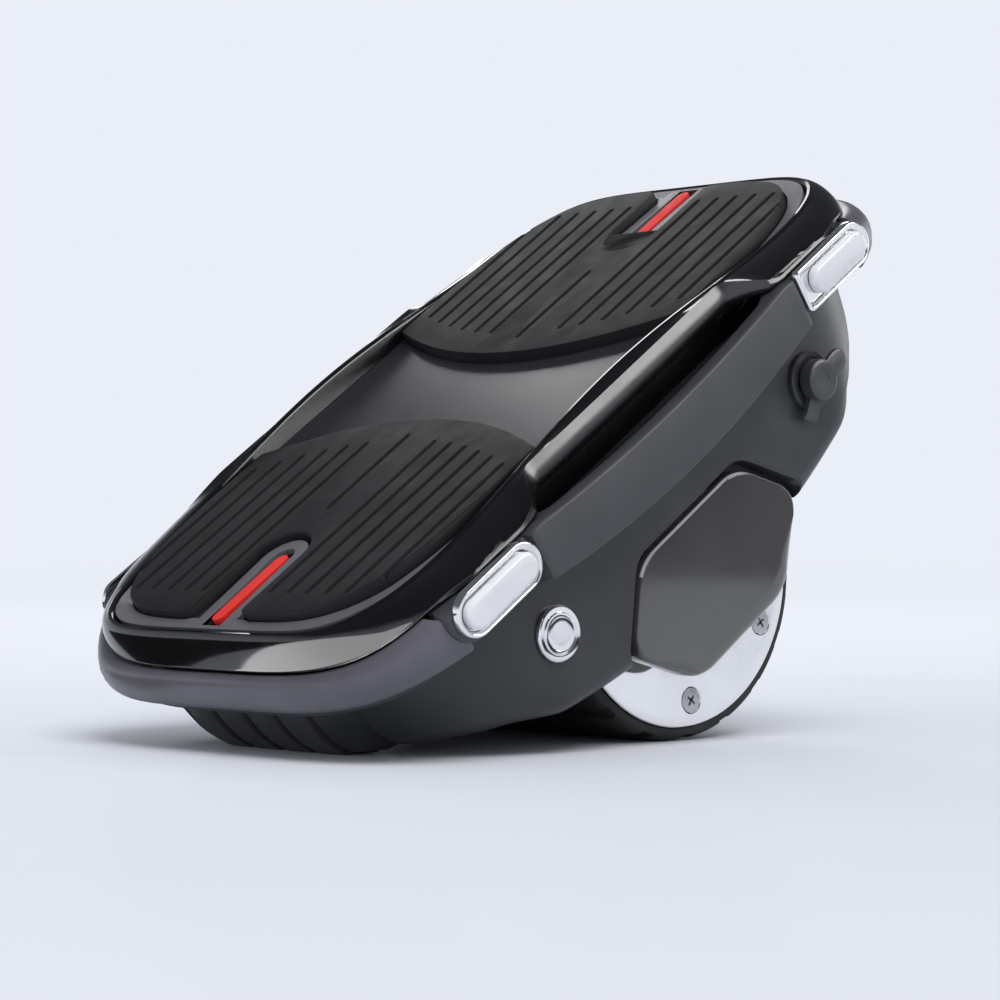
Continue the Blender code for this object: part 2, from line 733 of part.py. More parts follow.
def diffuser(end, sign):
    bands = [
        (BAND_HALF_LENGTH - 1.2 * MM, BAND_HALF_WIDTH - 1.0 * MM, None),
        (DIFFUSER_BULGE_LENGTH - 1.0 * MM, DIFFUSER_BULGE_WIDTH - 0.4 * MM, DIFFUSER_BULGE_HEIGHT + 2.6 * MM),
        (DIFFUSER_BULGE_LENGTH, DIFFUSER_BULGE_WIDTH, DIFFUSER_BULGE_HEIGHT),
        (DIFFUSER_BULGE_LENGTH - 0.6 * MM, DIFFUSER_BULGE_WIDTH - 0.8 * MM, DIFFUSER_BULGE_HEIGHT - 4 * MM),
        (DIFFUSER_BOTTOM_LENGTH, DIFFUSER_BOTTOM_WIDTH, DIFFUSER_BOTTOM),
        (DIFFUSER_BOTTOM_LENGTH - DIFFUSER_WALL, DIFFUSER_BOTTOM_WIDTH - DIFFUSER_WALL, DIFFUSER_BOTTOM),
        (DIFFUSER_BULGE_LENGTH - DIFFUSER_WALL, DIFFUSER_BULGE_WIDTH - DIFFUSER_WALL, DIFFUSER_BULGE_HEIGHT),
        (BAND_HALF_LENGTH - 4.2 * MM, BAND_HALF_WIDTH - 4.0 * MM, None),
    ]
    paths = [end_path(length, width, BAND_POWER, DIFFUSER_TIP_X) for length, width, _ in bands]
    sections = []
    for points in zip(*paths):
        section = []
        for (length, width, level), (x, y) in zip(bands, points):
            top = band_height(x) - GASKET - GAP
            lift = (band_height(x) - BAND_END_HEIGHT) * 0.7 if level is not None else 0.0
            height = top if level is None else min(level + lift * (level > DIFFUSER_BOTTOM), top - 0.5 * MM)
            section.append((sign * x, y, height))
        sections.append(section)
    return add_piece(f"{end}_diffuser", section_loft(sections), SMOKE)


def led_board(end, sign):
    back = LED_BOARD_CLEARANCE
    front = back + LED_BOARD_THICKNESS
    inner = end_path(SKIRT_HALF_LENGTH + back, SKIRT_HALF_WIDTH + back, SKIRT_POWER, DIFFUSER_TIP_X)
    outer = end_path(SKIRT_HALF_LENGTH + front, SKIRT_HALF_WIDTH + front, SKIRT_POWER, DIFFUSER_TIP_X)
    low = SHELL_SHOULDER + 0.4 * MM + GAP
    high = low + LED_BOARD_HEIGHT
    sections = []
    for (inner_x, inner_y), (outer_x, outer_y) in zip(inner, outer):
        sections.append(
            [
                (sign * inner_x, inner_y, low),
                (sign * outer_x, outer_y, low),
                (sign * outer_x, outer_y, high),
                (sign * inner_x, inner_y, high),
            ]
        )
    return add_piece(f"{end}_led_board", section_loft(sections), BOARD_GREEN)


# Lower shell
def ledge_width(x):
    """Half width of the ledge under the diffusers; between them it keeps to the body's blunt plan."""
    if x >= RAIL_END_X:
        return mix(SHELL_SIDE, SHELL_LEDGE_WIDTH, smooth(x, RAIL_END_X, SHELL_LEDGE_FULL_X))
    fullness = (1 - (x / SHELL_LEDGE_LENGTH) ** BAND_POWER) ** (1 / BAND_POWER)
    return shell_width(x, SHELL_LEDGE_LENGTH, SHELL_SIDE - GAP) / fullness


def shell_skin():
    """The moulded body: a neck inside the skirt, a ledge under each diffuser and a belly."""
    ledge_bottom = SHELL_SHOULDER - SHELL_LEDGE_THICKNESS
    rings = [
        plan_ring(SKIRT_HALF_LENGTH, skirt_width, SKIRT_POWER, always(FRAME_BOTTOM - GAP)),
        plan_ring(SKIRT_HALF_LENGTH, skirt_width, SKIRT_POWER, always(SHELL_SHOULDER + 0.4 * MM)),
        plan_ring(SHELL_LEDGE_LENGTH, ledge_width, BAND_POWER, always(SHELL_SHOULDER)),
        plan_ring(SHELL_LEDGE_LENGTH - 0.6 * MM, ledge_width, BAND_POWER, always(ledge_bottom)),
    ]
    levels = [
        (136 * MM, SHELL_SIDE, 43 * MM, 43 * MM),
        (134.4 * MM, SHELL_SIDE, 35 * MM, 36.5 * MM),
        (131.8 * MM, SHELL_SIDE, 27 * MM, 29.5 * MM),
        (127 * MM, SHELL_SIDE, 20 * MM, 23 * MM),
        (119.5 * MM, SHELL_SIDE, 14.5 * MM, 18 * MM),
        (111 * MM, SHELL_SIDE, BELLY_FILLET, 13.5 * MM),
        (104 * MM, SHELL_SIDE - BELLY_FILLET * 0.3, BELLY_FILLET * 0.3, 10.5 * MM),
        (96 * MM, SHELL_SIDE - BELLY_FILLET, 0.0, 8.2 * MM),
    ]
    for length, width, side, end_height in levels:
        follows_belly = side <= BELLY_FILLET

        def height(x, side=side, end_height=end_height, follows_belly=follows_belly):
            base = belly_height(x) + side if follows_belly else side
            return mix(base, end_height, smooth(x, 78 * MM, 100 * MM))

        rings.append(shell_ring(length, width, height))
    return ring_loft(rings)


def hexagon(grow=0.0):
    """(x, z) corners of the axle cover, longest across its waist."""
    corners = [
        (HEX_TOP_X, HEX_TOP_Z),
        (HEX_SIDE_X, 1.5 * MM),
        (HEX_BOTTOM_X, HEX_BOTTOM_Z),
        (-HEX_BOTTOM_X, HEX_BOTTOM_Z),
        (-HEX_SIDE_X, 1.5 * MM),
        (-HEX_TOP_X, HEX_TOP_Z),
    ]
    if not grow:
        return corners
    return [(x * (1 + grow / abs(HEX_SIDE_X)), z + math.copysign(grow, z)) for x, z in corners]


def lower_shell():
    piece = add_piece("lower_shell", shell_skin(), MATTE_GREY)
    well_radius = TYRE_RADIUS + WHEEL_CLEARANCE
    well_side = HUB_HALF_WIDTH + 3 * MM
    cuts = [
        add_cutter("wheel_well", rod_skin(well_radius, (0, -well_side, 0), (0, well_side, 0), 40)),
        add_cutter(
            "bracket_well",
            box_skin(
                (-CHASSIS_PLATE_HALF_LENGTH - GAP, -CHASSIS_LEG_FACE - GAP, well_radius - 20 * MM),
                (CHASSIS_PLATE_HALF_LENGTH + GAP, CHASSIS_LEG_FACE + GAP, FRAME_BOTTOM + 1 * MM),
            ),
        ),
        add_cutter(
            "leg_wells",
            box_skin(
                (-CHASSIS_LEG_HALF_WIDTH - GAP, -CHASSIS_LEG_FACE - GAP, -20 * MM),
                (CHASSIS_LEG_HALF_WIDTH + GAP, CHASSIS_LEG_FACE + GAP, FRAME_BOTTOM - 2 * MM),
            ),
        ),
    ]
    for side, sign in SIDES.items():
        pocket = prism_skin(
            rounded_polygon(hexagon(HEX_MARGIN), HEX_CORNER + 1 * MM, 3),
            sign * (HEX_BACK - GAP),
            sign * (SHELL_SIDE + 3 * MM),
        )
        cuts.append(add_cutter(f"{side}_cover_pocket", pocket))
    for end, sign in ENDS.items():
        near_x, far_x = sorted((sign * BAY_INNER_X, sign * BAY_OUTER_X))
        bay = box_skin((near_x, -BAY_HALF_WIDTH, BAY_FLOOR), (far_x, BAY_HALF_WIDTH, FRAME_BOTTOM + 2 * MM))
        cuts.append(add_cutter(f"{end}_bay", bay))
    for name, sign, diameter in (("button", -1, BUTTON_BODY), ("port", 1, PORT_BODY)):
        start = (sign * CONTROL_X, -SHELL_SIDE - 5 * MM, CONTROL_Z)
        end_point = (sign * CONTROL_X, -BAY_HALF_WIDTH + 5 * MM, CONTROL_Z)
        cuts.append(add_cutter(f"{name}_hole", rod_skin(diameter / 2 + GAP, start, end_point, 28)))
    cut(piece, *cuts)
    return piece


# Rails
def rail(side, sign):
    """The side bar: a channel in the middle, so that fingers go behind it, and a block at each end."""
    block_start, block_full = PILL_INNER_X - 2 * MM, PILL_INNER_X + 1 * MM
    stations = [RAIL_END_X] + [x * MM for x in (105, 95, 84)] + [block_full, block_start]
    stations += [x * MM for x in (66, 61, 56, 47, 36, 24, 12)]
    along = [-x for x in stations] + [0.0] + list(reversed(stations))
    foot_y = SHELL_SIDE + GAP
    sections = []
    for x in along:
        reach = abs(x)
        face = mix(RAIL_FACE, RAIL_END_FACE, smooth(reach, block_start, block_full))
        top = min(rail_top(reach), band_height(reach) - RAIL_GAP)
        bottom = rail_bottom(reach)
        inner = mix(face - RAIL_WALL, foot_y + 1 * MM, smooth(reach, 56 * MM, 70 * MM))
        floor = max(bottom + RAIL_FLOOR, SHELL_SHOULDER + GAP + 1 * MM)
        low = bottom - 2.5 * MM
        section = [
            (face - 1.2 * MM, top),
            (face, top - 1.4 * MM),
            (face, bottom + 1.2 * MM),
            (face - 1.2 * MM, bottom),
            (foot_y, low),
            (foot_y, floor),
            (inner, floor),
            (inner, top),
        ]
        sections.append([(x, sign * y, z) for y, z in section])
    return add_piece(f"{side}_rail", section_loft(sections), MATTE_GREY)


def pill(end, side, end_sign, side_sign):
    """The bezel and its insert on a rail's end block. The toe's bezel has a square inner end."""
    square = end == "toe"
    centre = Vector((end_sign * PILL_CENTRE_X, 0, PILL_CENTRE_Z))

    def outline(length, height, square_start):
        points = stadium(length, height, 6, square_start)
        return [(end_sign * x + centre.x, z + centre.z) for x, z in points]

    back = side_sign * (RAIL_END_FACE + GAP)
    front = side_sign * (RAIL_END_FACE + GAP + PILL_DEPTH)
    ring = prism_skin(outline(PILL_LENGTH, PILL_HEIGHT, square), back, front)
    bezel = add_piece(f"{end}_{side}_badge_bezel", ring, CHROME)
    round_edges(bezel, 0.7 * MM, segments=1, angle=50)
    pocket_length = PILL_LENGTH - 2 * PILL_RIM
    pocket_height = PILL_HEIGHT - 2 * PILL_RIM
    pocket_back = back + side_sign * 1 * MM
    pocket = prism_skin(outline(pocket_length, pocket_height, False), pocket_back, front + side_sign * 2 * MM)
    cut(bezel, add_cutter(f"{end}_{side}_badge_pocket", pocket))
    insert = prism_skin(
        outline(pocket_length - 2 * GAP, pocket_height - 2 * GAP, False),
        pocket_back + side_sign * GAP,
        pocket_back + side_sign * BADGE_DEPTH,
    )
    badge = add_piece(f"{end}_{side}_badge", insert, WHITE)
    round_edges(badge, 0.9 * MM, segments=1, angle=50)


# Feet
def ground_slope():
    """Angle that the shoe is tilted by when the heel foot and the tyre both touch the ground."""
    reach = math.hypot(FOOT_CONTACT_X, FOOT_CONTACT_Z)
    return math.atan2(FOOT_CONTACT_Z, FOOT_CONTACT_X) + math.asin(TYRE_RADIUS / reach)


def foot_profile():
    """(x, z) points down the foot's outer face; its flat lies on the ground when the shoe is tilted."""
    tilt = ground_slope()
    along = Vector((math.cos(tilt), math.sin(tilt))) * FOOT_FLAT_LENGTH / 2
    contact = Vector((FOOT_CONTACT_X, FOOT_CONTACT_Z))
    return [
        Vector((136.4 * MM, FOOT_TOP)),
        Vector((135.4 * MM, 38 * MM)),
        Vector((133.4 * MM, 31 * MM)),
        contact + along,
        contact - along,
        Vector((116.5 * MM, 16.4 * MM)),
    ]


FOOT_BACK = [
    Vector((112 * MM, 18.6 * MM)),
    Vector((117 * MM, 25 * MM)),
    Vector((121 * MM, 33 * MM)),
    Vector((124 * MM, FOOT_TOP)),
]


def foot(end, sign, shell):
    """A ribbed rubber foot, seated in a pocket of the shell's end."""
    outer = foot_profile()
    pitch = (2 * FOOT_HALF_WIDTH + FOOT_GROOVE_WIDTH) / FOOT_RIBS
    slope = FOOT_GROOVE_WIDTH * 0.3
    stations = [(-FOOT_HALF_WIDTH, 0.0)]
    for rib in range(1, FOOT_RIBS):
        groove = -FOOT_HALF_WIDTH + rib * pitch - FOOT_GROOVE_WIDTH
        if rib == 1:
            stations.append((-FOOT_HALF_WIDTH + FOOT_CORNER / 2, 0.0))
        groove_end = groove + FOOT_GROOVE_WIDTH
        stations += [(groove, 0.0), (groove + slope, FOOT_GROOVE_DEPTH)]
        stations += [(groove_end - slope, FOOT_GROOVE_DEPTH), (groove_end, 0.0)]
    stations += [(FOOT_HALF_WIDTH - FOOT_CORNER / 2, 0.0), (FOOT_HALF_WIDTH, 0.0)]
    middle = Vector((105 * MM, 60 * MM))
    sections = []
    for y, depth in stations:
        corner = max(0.0, abs(y) - FOOT_HALF_WIDTH + FOOT_CORNER) / FOOT_CORNER
        drawn_in = FOOT_CORNER_SWEEP * corner**2
        top, *rest, heel_edge = outer
        face = [(sign * (top.x - drawn_in), y, top.y)]
        for point in rest:
            grooved = point + (middle - point).normalized() * depth
            face.append((sign * (grooved.x - drawn_in), y, grooved.y))
        face.append((sign * heel_edge.x, y, heel_edge.y))
        sections.append(face + [(sign * point.x, y, point.y) for point in FOOT_BACK])
    piece = add_piece(f"{end}_foot", section_loft(sections), MATTE_GREY)
    outside = FOOT_CONTACT_X + 20 * MM
    wall = [Vector((outside, FOOT_TOP + GAP)), Vector((outside, 0)), Vector((FOOT_BACK[0].x - GAP, 0))]
    wall += [point - Vector((GAP, 0)) for point in FOOT_BACK[:-1]]
    wall.append(FOOT_BACK[-1] + Vector((-GAP, GAP)))
    reach = FOOT_HALF_WIDTH + GAP
    pocket = section_loft([[(sign * point.x, y, point.y) for point in wall] for y in (-reach, reach)])
    cut(shell, add_cutter(f"{end}_foot_pocket", pocket))
    return piece


# Axle covers and chassis
def hex_cover(side, sign):
    outline = rounded_polygon(hexagon(), HEX_CORNER, 3)
    piece = add_piece(
        f"{side}_axle_cover", prism_skin(outline, sign * HEX_BACK, sign * HEX_FACE), GLOSS_BLACK
    )
    round_edges(piece, 0.8 * MM, segments=1, angle=50)
    recess_face = sign * (CHASSIS_LEG_FACE + AXLE_NUT_HEIGHT + 2 * MM)
    radius = AXLE_NUT_ACROSS_FLATS / 2 + 3.5 * MM
    recess = rod_skin(radius, (0, sign * (HEX_BACK - 2 * MM), 0), (0, recess_face, 0), 24)
    cut(piece, add_cutter(f"{side}_nut_recess", recess))
    return piece


def chassis():
    """An aluminium bracket, folded over the wheel, whose legs carry the axle."""
    outer = CHASSIS_LEG_FACE
    inner = outer - CHASSIS_THICKNESS
    bottom = FRAME_BOTTOM + GAP
    skin = box_skin(
        (-CHASSIS_PLATE_HALF_LENGTH, -outer, bottom),
        (CHASSIS_PLATE_HALF_LENGTH, outer, CHASSIS_TOP),
    )
    piece = add_piece("chassis_bracket", skin, ALUMINIUM)
    half = CHASSIS_LEG_HALF_WIDTH
    outline = [(half, (bottom + CHASSIS_TOP) / 2)]
    steps = 10
    leg_round = 17 * MM
    for i in range(steps + 1):
        angle = math.pi * i / steps
        outline.append((leg_round * math.cos(angle), -leg_round * math.sin(angle)))
    outline.append((-half, (bottom + CHASSIS_TOP) / 2))
    for side, sign in SIDES.items():
        leg = add_cutter(f"{side}_leg", prism_skin(outline, sign * inner, sign * outer))
        cut(piece, leg, operation="UNION")
    axle_hole = rod_skin(AXLE_DIAMETER / 2 + GAP, (0, -outer - 5 * MM, 0), (0, outer + 5 * MM, 0), 24)
    cut(piece, add_cutter("axle_hole", axle_hole))
    return piece


def axle():
    reach = CHASSIS_LEG_FACE + AXLE_NUT_HEIGHT + 1 * MM
    piece = add_piece(
        "axle", rod_skin(AXLE_DIAMETER / 2, (0, -reach, 0), (0, reach, 0), 24), STEEL
    )
    round_edges(piece, 0.6 * MM, segments=1, angle=50)
    return piece


def axle_nut(side, sign):
    start = (0, sign * (CHASSIS_LEG_FACE + GAP), 0)
    finish = (0, sign * (CHASSIS_LEG_FACE + GAP + AXLE_NUT_HEIGHT), 0)
    radius = AXLE_NUT_ACROSS_FLATS / 2 / math.cos(math.pi / 6)
    piece = add_piece(f"{side}_axle_nut", rod_skin(radius, start, finish, 6), STEEL)
    bore = rod_skin(AXLE_DIAMETER / 2 + GAP, (0, sign * 60 * MM, 0), (0, sign * 80 * MM, 0), 24)
    cut(piece, add_cutter(f"{side}_nut_bore", bore))
    return piece


# Wheel
def bearing(side, sign):
    outer = BEARING_DIAMETER / 2
    inner = AXLE_DIAMETER / 2 + GAP
    far = sign * (HUB_HALF_WIDTH - 3 * MM)
    near = far - sign * BEARING_WIDTH
    profile = [(outer, far), (outer, near), (inner, near), (inner, far)]
    return turned_piece(f"{side}_bearing", profile, STEEL, SHOE, 24)


def rotor_drum(wheel):
    """The turned can of the motor, open on the near side, with the far wall and its bearing boss in one."""
    wall = HUB_RADIUS - HUB_WALL
    face = HUB_HALF_WIDTH
    boss = BEARING_DIAMETER / 2 + 4 * MM
    seat = BEARING_DIAMETER / 2 + GAP
    seat_end = face - 3 * MM - BEARING_WIDTH - GAP
    profile = [
        (HUB_RADIUS - 1.5 * MM, face),
        (HUB_RADIUS, face - 1 * MM),
        (HUB_RADIUS, -face + 4.3 * MM),
        (wall, -face + 4.3 * MM),
        (wall, face - 5 * MM),
        (boss, face - 5 * MM),
        (boss, seat_end),
        (seat, seat_end),
        (seat, face - HUB_DISH),
        (30 * MM, face - HUB_DISH),
        (HUB_SCREW_CIRCLE + 5.5 * MM, face - 0.4 * MM),
    ]
    return turned_piece("rotor_drum", profile, CHROME, wheel, 36)


def hub_cover(wheel):
    face = -HUB_HALF_WIDTH
    boss = BEARING_DIAMETER / 2 + 4 * MM
    seat = BEARING_DIAMETER / 2 + GAP
    profile = [
        (seat, face + HUB_DISH),
        (seat, face + 3 * MM + BEARING_WIDTH + GAP),
        (boss, face + 3 * MM + BEARING_WIDTH + GAP),
        (boss, face + 4 * MM),
        (HUB_RADIUS, face + 4 * MM),
        (HUB_RADIUS, face + 1 * MM),
        (HUB_RADIUS - 1.5 * MM, face),
        (HUB_SCREW_CIRCLE + 5.5 * MM, face + 0.4 * MM),
        (30 * MM, face + HUB_DISH),
    ]
    piece = turned_piece("near_hub_cover", profile, CHROME, wheel, 36)
    return piece


def hub_screws(wheel, cover):
    """Countersunk cross-head screws round the near hub cover."""
    face = -HUB_HALF_WIDTH + 0.9 * MM
    head = HUB_SCREW_HEAD / 2
    shank = HUB_SCREW_SHANK / 2
    cone_depth = head - shank
    for index in range(HUB_SCREW_COUNT):
        angle = HUB_SCREW_FIRST_ANGLE + index * 2 * math.pi / HUB_SCREW_COUNT
        x = HUB_SCREW_CIRCLE * math.cos(angle)
        z = HUB_SCREW_CIRCLE * math.sin(angle)
        sink = rod_skin(head + 0.5 * MM, (x, face - 1.5 * MM, z), (x, face + 0.2 * MM, z), 12)
        cone = rod_skin(head + GAP, (x, face, z), (x, face + cone_depth, z), 12, shank + GAP)
        hole = rod_skin(shank + GAP, (x, face + cone_depth - 0.5 * MM, z), (x, face + 6 * MM, z), 12)
        for part, shape in (("sink", sink), ("seat", cone), ("hole", hole)):
            cut(cover, add_cutter(f"screw_{part}_{index + 1}", shape))
        skin = rod_skin(head, (x, face, z), (x, face + cone_depth, z), 12, shank)
        screw = add_piece(f"hub_screw_{index + 1}", skin, STEEL, wheel)
        turn = turn_at(x, z, 0.7 * index)
        for arm, size in (("wide", (2.4, 0.5)), ("tall", (0.5, 2.4))):
            low = (x - size[0] * MM, face - 1 * MM, z - size[1] * MM)
            high = (x + size[0] * MM, face + 1 * MM, z + size[1] * MM)
            slot = box_skin(low, high)
            bmesh.ops.transform(slot, matrix=turn, verts=slot.verts)
            cut(screw, add_cutter(f"screw_{index + 1}_{arm}_slot", slot))


def tyre(wheel):
    """A thin solid tyre: a ribbed ring whose shoulders are notched into blocks."""
    inner = HUB_RADIUS + GAP
    shoulder = TYRE_RADIUS - 2.2 * MM
    edge = TYRE_HALF_WIDTH
    half_groove = TREAD_GROOVE / 2
    floor = TYRE_RADIUS - TREAD_DEPTH
    profile = [
        (inner, edge),
        (inner, -edge),
        (shoulder, -edge),
        (TYRE_RADIUS - 0.6 * MM, -edge + 1.6 * MM),
        (TYRE_RADIUS, -edge + 4 * MM),
    ]
    for middle in (-18 * MM, 18 * MM):
        profile += [
            (TYRE_RADIUS, middle - half_groove),
            (floor, middle - half_groove + 0.5 * MM),
            (floor, middle + half_groove - 0.5 * MM),
            (TYRE_RADIUS, middle + half_groove),
        ]
    profile += [(TYRE_RADIUS, edge - 4 * MM), (TYRE_RADIUS - 0.6 * MM, edge - 1.6 * MM), (shoulder, edge)]
    piece = turned_piece("tyre", profile, RUBBER_BLACK, wheel, TREAD_BLOCKS * 2)
    piece.rotation_euler.y = ground_slope()
    notches = bmesh.new()
    for index in range(TREAD_BLOCKS):
        for side in SIDES.values():
            stagger = 0.5 * (side > 0)
            turn = Matrix.Rotation(2 * math.pi * (index + stagger + 0.25) / TREAD_BLOCKS, 4, "Y")
            y_low, y_high = sorted((side * 28 * MM, side * (edge + 3 * MM)))
            notch = box_skin((-half_groove, y_low, floor), (half_groove, y_high, TYRE_RADIUS + 3 * MM))
            bmesh.ops.transform(notch, matrix=turn, verts=notch.verts)
            mesh = bpy.data.meshes.new("notch")
            notch.to_mesh(mesh)
            notch.free()
            notches.from_mesh(mesh)
            bpy.data.meshes.remove(mesh)
    cut(piece, add_cutter("tread_notches", notches))
    return piece


def magnet_ring(wheel):
    outer = HUB_RADIUS - HUB_WALL - GAP
    inner = outer - MAGNET_THICKNESS
    reach = MOTOR_HALF_LENGTH
    profile = [(outer, reach), (outer, -reach), (inner, -reach), (inner, reach)]
    return turned_piece("magnet_ring", profile, STEEL, wheel, MAGNET_COUNT)


def stator():
    """The laminated core with its teeth, pressed on the axle."""
    tip = HUB_RADIUS - HUB_WALL - GAP - MAGNET_THICKNESS - 0.9 * MM
    root = 24 * MM
    outline = []
    for tooth in range(STATOR_TEETH):
        centre = 2 * math.pi * tooth / STATOR_TEETH
        pitch = 2 * math.pi / STATOR_TEETH
        neck = tip - 3 * MM
        tooth = ((-0.16, root), (-0.16, neck), (-0.4, tip), (0.4, tip), (0.16, neck), (0.16, root))
        for share, radius in tooth:
            angle = centre + share * pitch
            outline.append((radius * math.cos(angle), radius * math.sin(angle)))
    reach = MOTOR_HALF_LENGTH - 2 * MM
    piece = add_piece("stator", prism_skin(outline, -reach, reach), STEEL)
    bore = rod_skin(AXLE_DIAMETER / 2 + GAP, (0, -60 * MM, 0), (0, 60 * MM, 0), 24)
    cut(piece, add_cutter("stator_bore", bore))
    return piece


# Controls
def power_button():
    x, z = -CONTROL_X, CONTROL_Z
    side = -SHELL_SIDE
    head = BUTTON_HEAD / 2
    body = BUTTON_BODY / 2
    cap = BUTTON_CAP / 2
    bezel = add_piece("button_bezel", rod_skin(head, (x, side - GAP, z), (x, side - 2.2 * MM, z), 32), CHROME)
    round_edges(bezel, 0.5 * MM, segments=1, angle=50)
    barrel = rod_skin(body, (x, side - 1 * MM, z), (x, side + BUTTON_BODY_LENGTH, z), 24)
    cut(bezel, add_cutter("button_barrel", barrel), operation="UNION")
    bore = rod_skin(cap + GAP, (x, side - 5 * MM, z), (x, side + 8 * MM, z), 24)
    cut(bezel, add_cutter("button_bore", bore))
    plunger = rod_skin(cap, (x, side - 2.6 * MM, z), (x, side + 8 * MM - BUTTON_TRAVEL - GAP, z), 24)
    button = add_piece("power_button", plunger, CHROME)
    round_edges(button, 0.4 * MM, segments=1, angle=50)
    inner_wall = -BAY_HALF_WIDTH + GAP
    nut_radius = BUTTON_NUT / 2 / math.cos(math.pi / 6)
    nut = add_piece(
        "button_nut", rod_skin(nut_radius, (x, inner_wall, z), (x, inner_wall + 4 * MM, z), 6), STEEL
    )
    hole = rod_skin(body + GAP, (x, inner_wall - 2 * MM, z), (x, inner_wall + 8 * MM, z), 24)
    cut(nut, add_cutter("button_nut_hole", hole))


def charge_port():
    x, z = CONTROL_X, CONTROL_Z
    side = -SHELL_SIDE
    flange = rod_skin(PORT_FLANGE / 2, (x, side - GAP, z), (x, side - 2 * MM, z), 32)
    socket = add_piece("charge_socket", flange, MATTE_GREY)
    barrel = rod_skin(PORT_BODY / 2, (x, side - 1 * MM, z), (x, side + PORT_BODY_LENGTH, z), 24)
    cut(socket, add_cutter("port_barrel", barrel), operation="UNION")
    bore = rod_skin(PORT_BORE / 2, (x, side - 5 * MM, z), (x, side + 12 * MM, z), 24)
    cut(socket, add_cutter("port_bore", bore))
    pin = rod_skin(1.1 * MM, (x, side + 13 * MM, z), (x, side + 3.5 * MM, z), 12)
    cut(socket, add_cutter("port_pin", pin), operation="UNION")


def dust_cap():
    """The rubber plug of the charge port: a strap at its lower inner edge and a finger tab opposite."""
    x, z = CONTROL_X, CONTROL_Z
    base = -SHELL_SIDE - 2 * MM - GAP
    face = base - CAP_THICKNESS
    hinge_reach = PORT_FLANGE / 2 + 2.4 * MM
    diagonal = math.sqrt(0.5)
    hinge_point = (x - hinge_reach * diagonal, base - 1.2 * MM, z - hinge_reach * diagonal)
    hinge = new_empty("dust_cap_hinge", SHOE, hinge_point)
    skin = rod_skin(CAP_DIAMETER / 2, (x, base, z), (x, face, z), 28)
    bmesh.ops.translate(skin, vec=-Vector(hinge_point), verts=skin.verts)
    cap = add_piece("dust_cap", skin, RUBBER_BLACK, hinge)
    plug = PORT_BORE / 2 - 1.4 * MM
    stub = rod_skin(plug, (x, base - 1 * MM, z), (x, base + 3.6 * MM, z), 20, plug - 1 * MM)
    turn = turn_at(x, z, math.radians(-45))
    tab = box_skin((x, base - 3.4 * MM, z - 4 * MM), (x + CAP_DIAMETER / 2 + 5 * MM, face, z + 4 * MM))
    strap_end = x - hinge_reach - 1.6 * MM
    strap = box_skin((strap_end, base - 2.4 * MM, z - 3 * MM), (x - 4 * MM, base, z + 3 * MM))
    for name, shape in (("tab", tab), ("strap", strap)):
        bmesh.ops.transform(shape, matrix=turn, verts=shape.verts)
        cut(cap, add_cutter(f"cap_{name}", shape), operation="UNION")
    cut(cap, add_cutter("cap_stub", stub), operation="UNION")
    return cap


# Inside the bays
def battery_pack():
    length, width, height = BATTERY_SIZE
    x = (BAY_INNER_X + BAY_OUTER_X) / 2
    low = BAY_FLOOR + GAP
    piece = add_piece(
        "battery_pack",
        box_skin((x - length / 2, -width / 2, low), (x + length / 2, width / 2, low + height)),
        WRAP_BLUE,
    )
    round_edges(piece, 5 * MM, segments=3)
    return piece


def control_board():
    length, width, thickness = BOARD_SIZE
    x = -(BAY_INNER_X + BAY_OUTER_X) / 2
    post = 6 * MM
    low = BAY_FLOOR + post
    piece = add_piece(
        "control_board",
        box_skin((x - length / 2, -width / 2, low), (x + length / 2, width / 2, low + thickness)),
        BOARD_GREEN,
    )
    for index, y in enumerate((-38 * MM, 0.0, 38 * MM)):
        leg = rod_skin(2.5 * MM, (x, y, BAY_FLOOR + GAP), (x, y, low + 0.5 * MM), 12)
        cut(piece, add_cutter(f"board_post_{index + 1}", leg), operation="UNION")
    for index, y in enumerate((-20 * MM, 4 * MM, 28 * MM)):
        can = rod_skin(5 * MM, (x - 8 * MM, y, low + 0.8 * MM), (x - 8 * MM, y, low + 17 * MM), 16)
        cut(piece, add_cutter(f"capacitor_{index + 1}", can), operation="UNION")
    sink = box_skin((x + 4 * MM, -40 * MM, low + 0.8 * MM), (x + 14 * MM, 40 * MM, low + 12 * MM))
    cut(piece, add_cutter("heat_sink", sink), operation="UNION")
    return piece


def switch_board(end, sign):
    length, width, thickness = SWITCH_BOARD_SIZE
    middle = sign * (PAD_INNER_X + PAD_HALF_LENGTH) / 2
    high = TRAY_FLOOR - GAP
    piece = add_piece(
        f"{end}_switch_board",
        box_skin((middle - length / 2, -width / 2, high - thickness), (middle + length / 2, width / 2, high)),
        BOARD_GREEN,
    )
    for index, y in enumerate((-38 * MM, 38 * MM)):
        dome = rod_skin(3 * MM, (middle, y, high - 0.5 * MM), (middle, y, high + 0.6 * MM), 12, 2 * MM)
        cut(piece, add_cutter(f"{end}_switch_dome_{index + 1}", dome), operation="UNION")
    return piece


def stand_on_ground():
    """Moves the whole object so that its box stands on z = 0, centred on the origin."""
    bpy.context.view_layer.update()
    graph = bpy.context.evaluated_depsgraph_get()
    corners = []
    for piece in PARTS.objects:
        if piece.type == "MESH":
            evaluated = piece.evaluated_get(graph)
            corners += [evaluated.matrix_world @ vert.co for vert in evaluated.data.vertices]
    lows = [min(corner[axis] for corner in corners) for axis in range(3)]
    highs = [max(corner[axis] for corner in corners) for axis in range(3)]
    ROOT.location = (-(lows[0] + highs[0]) / 2, -(lows[1] + highs[1]) / 2, -lows[2])


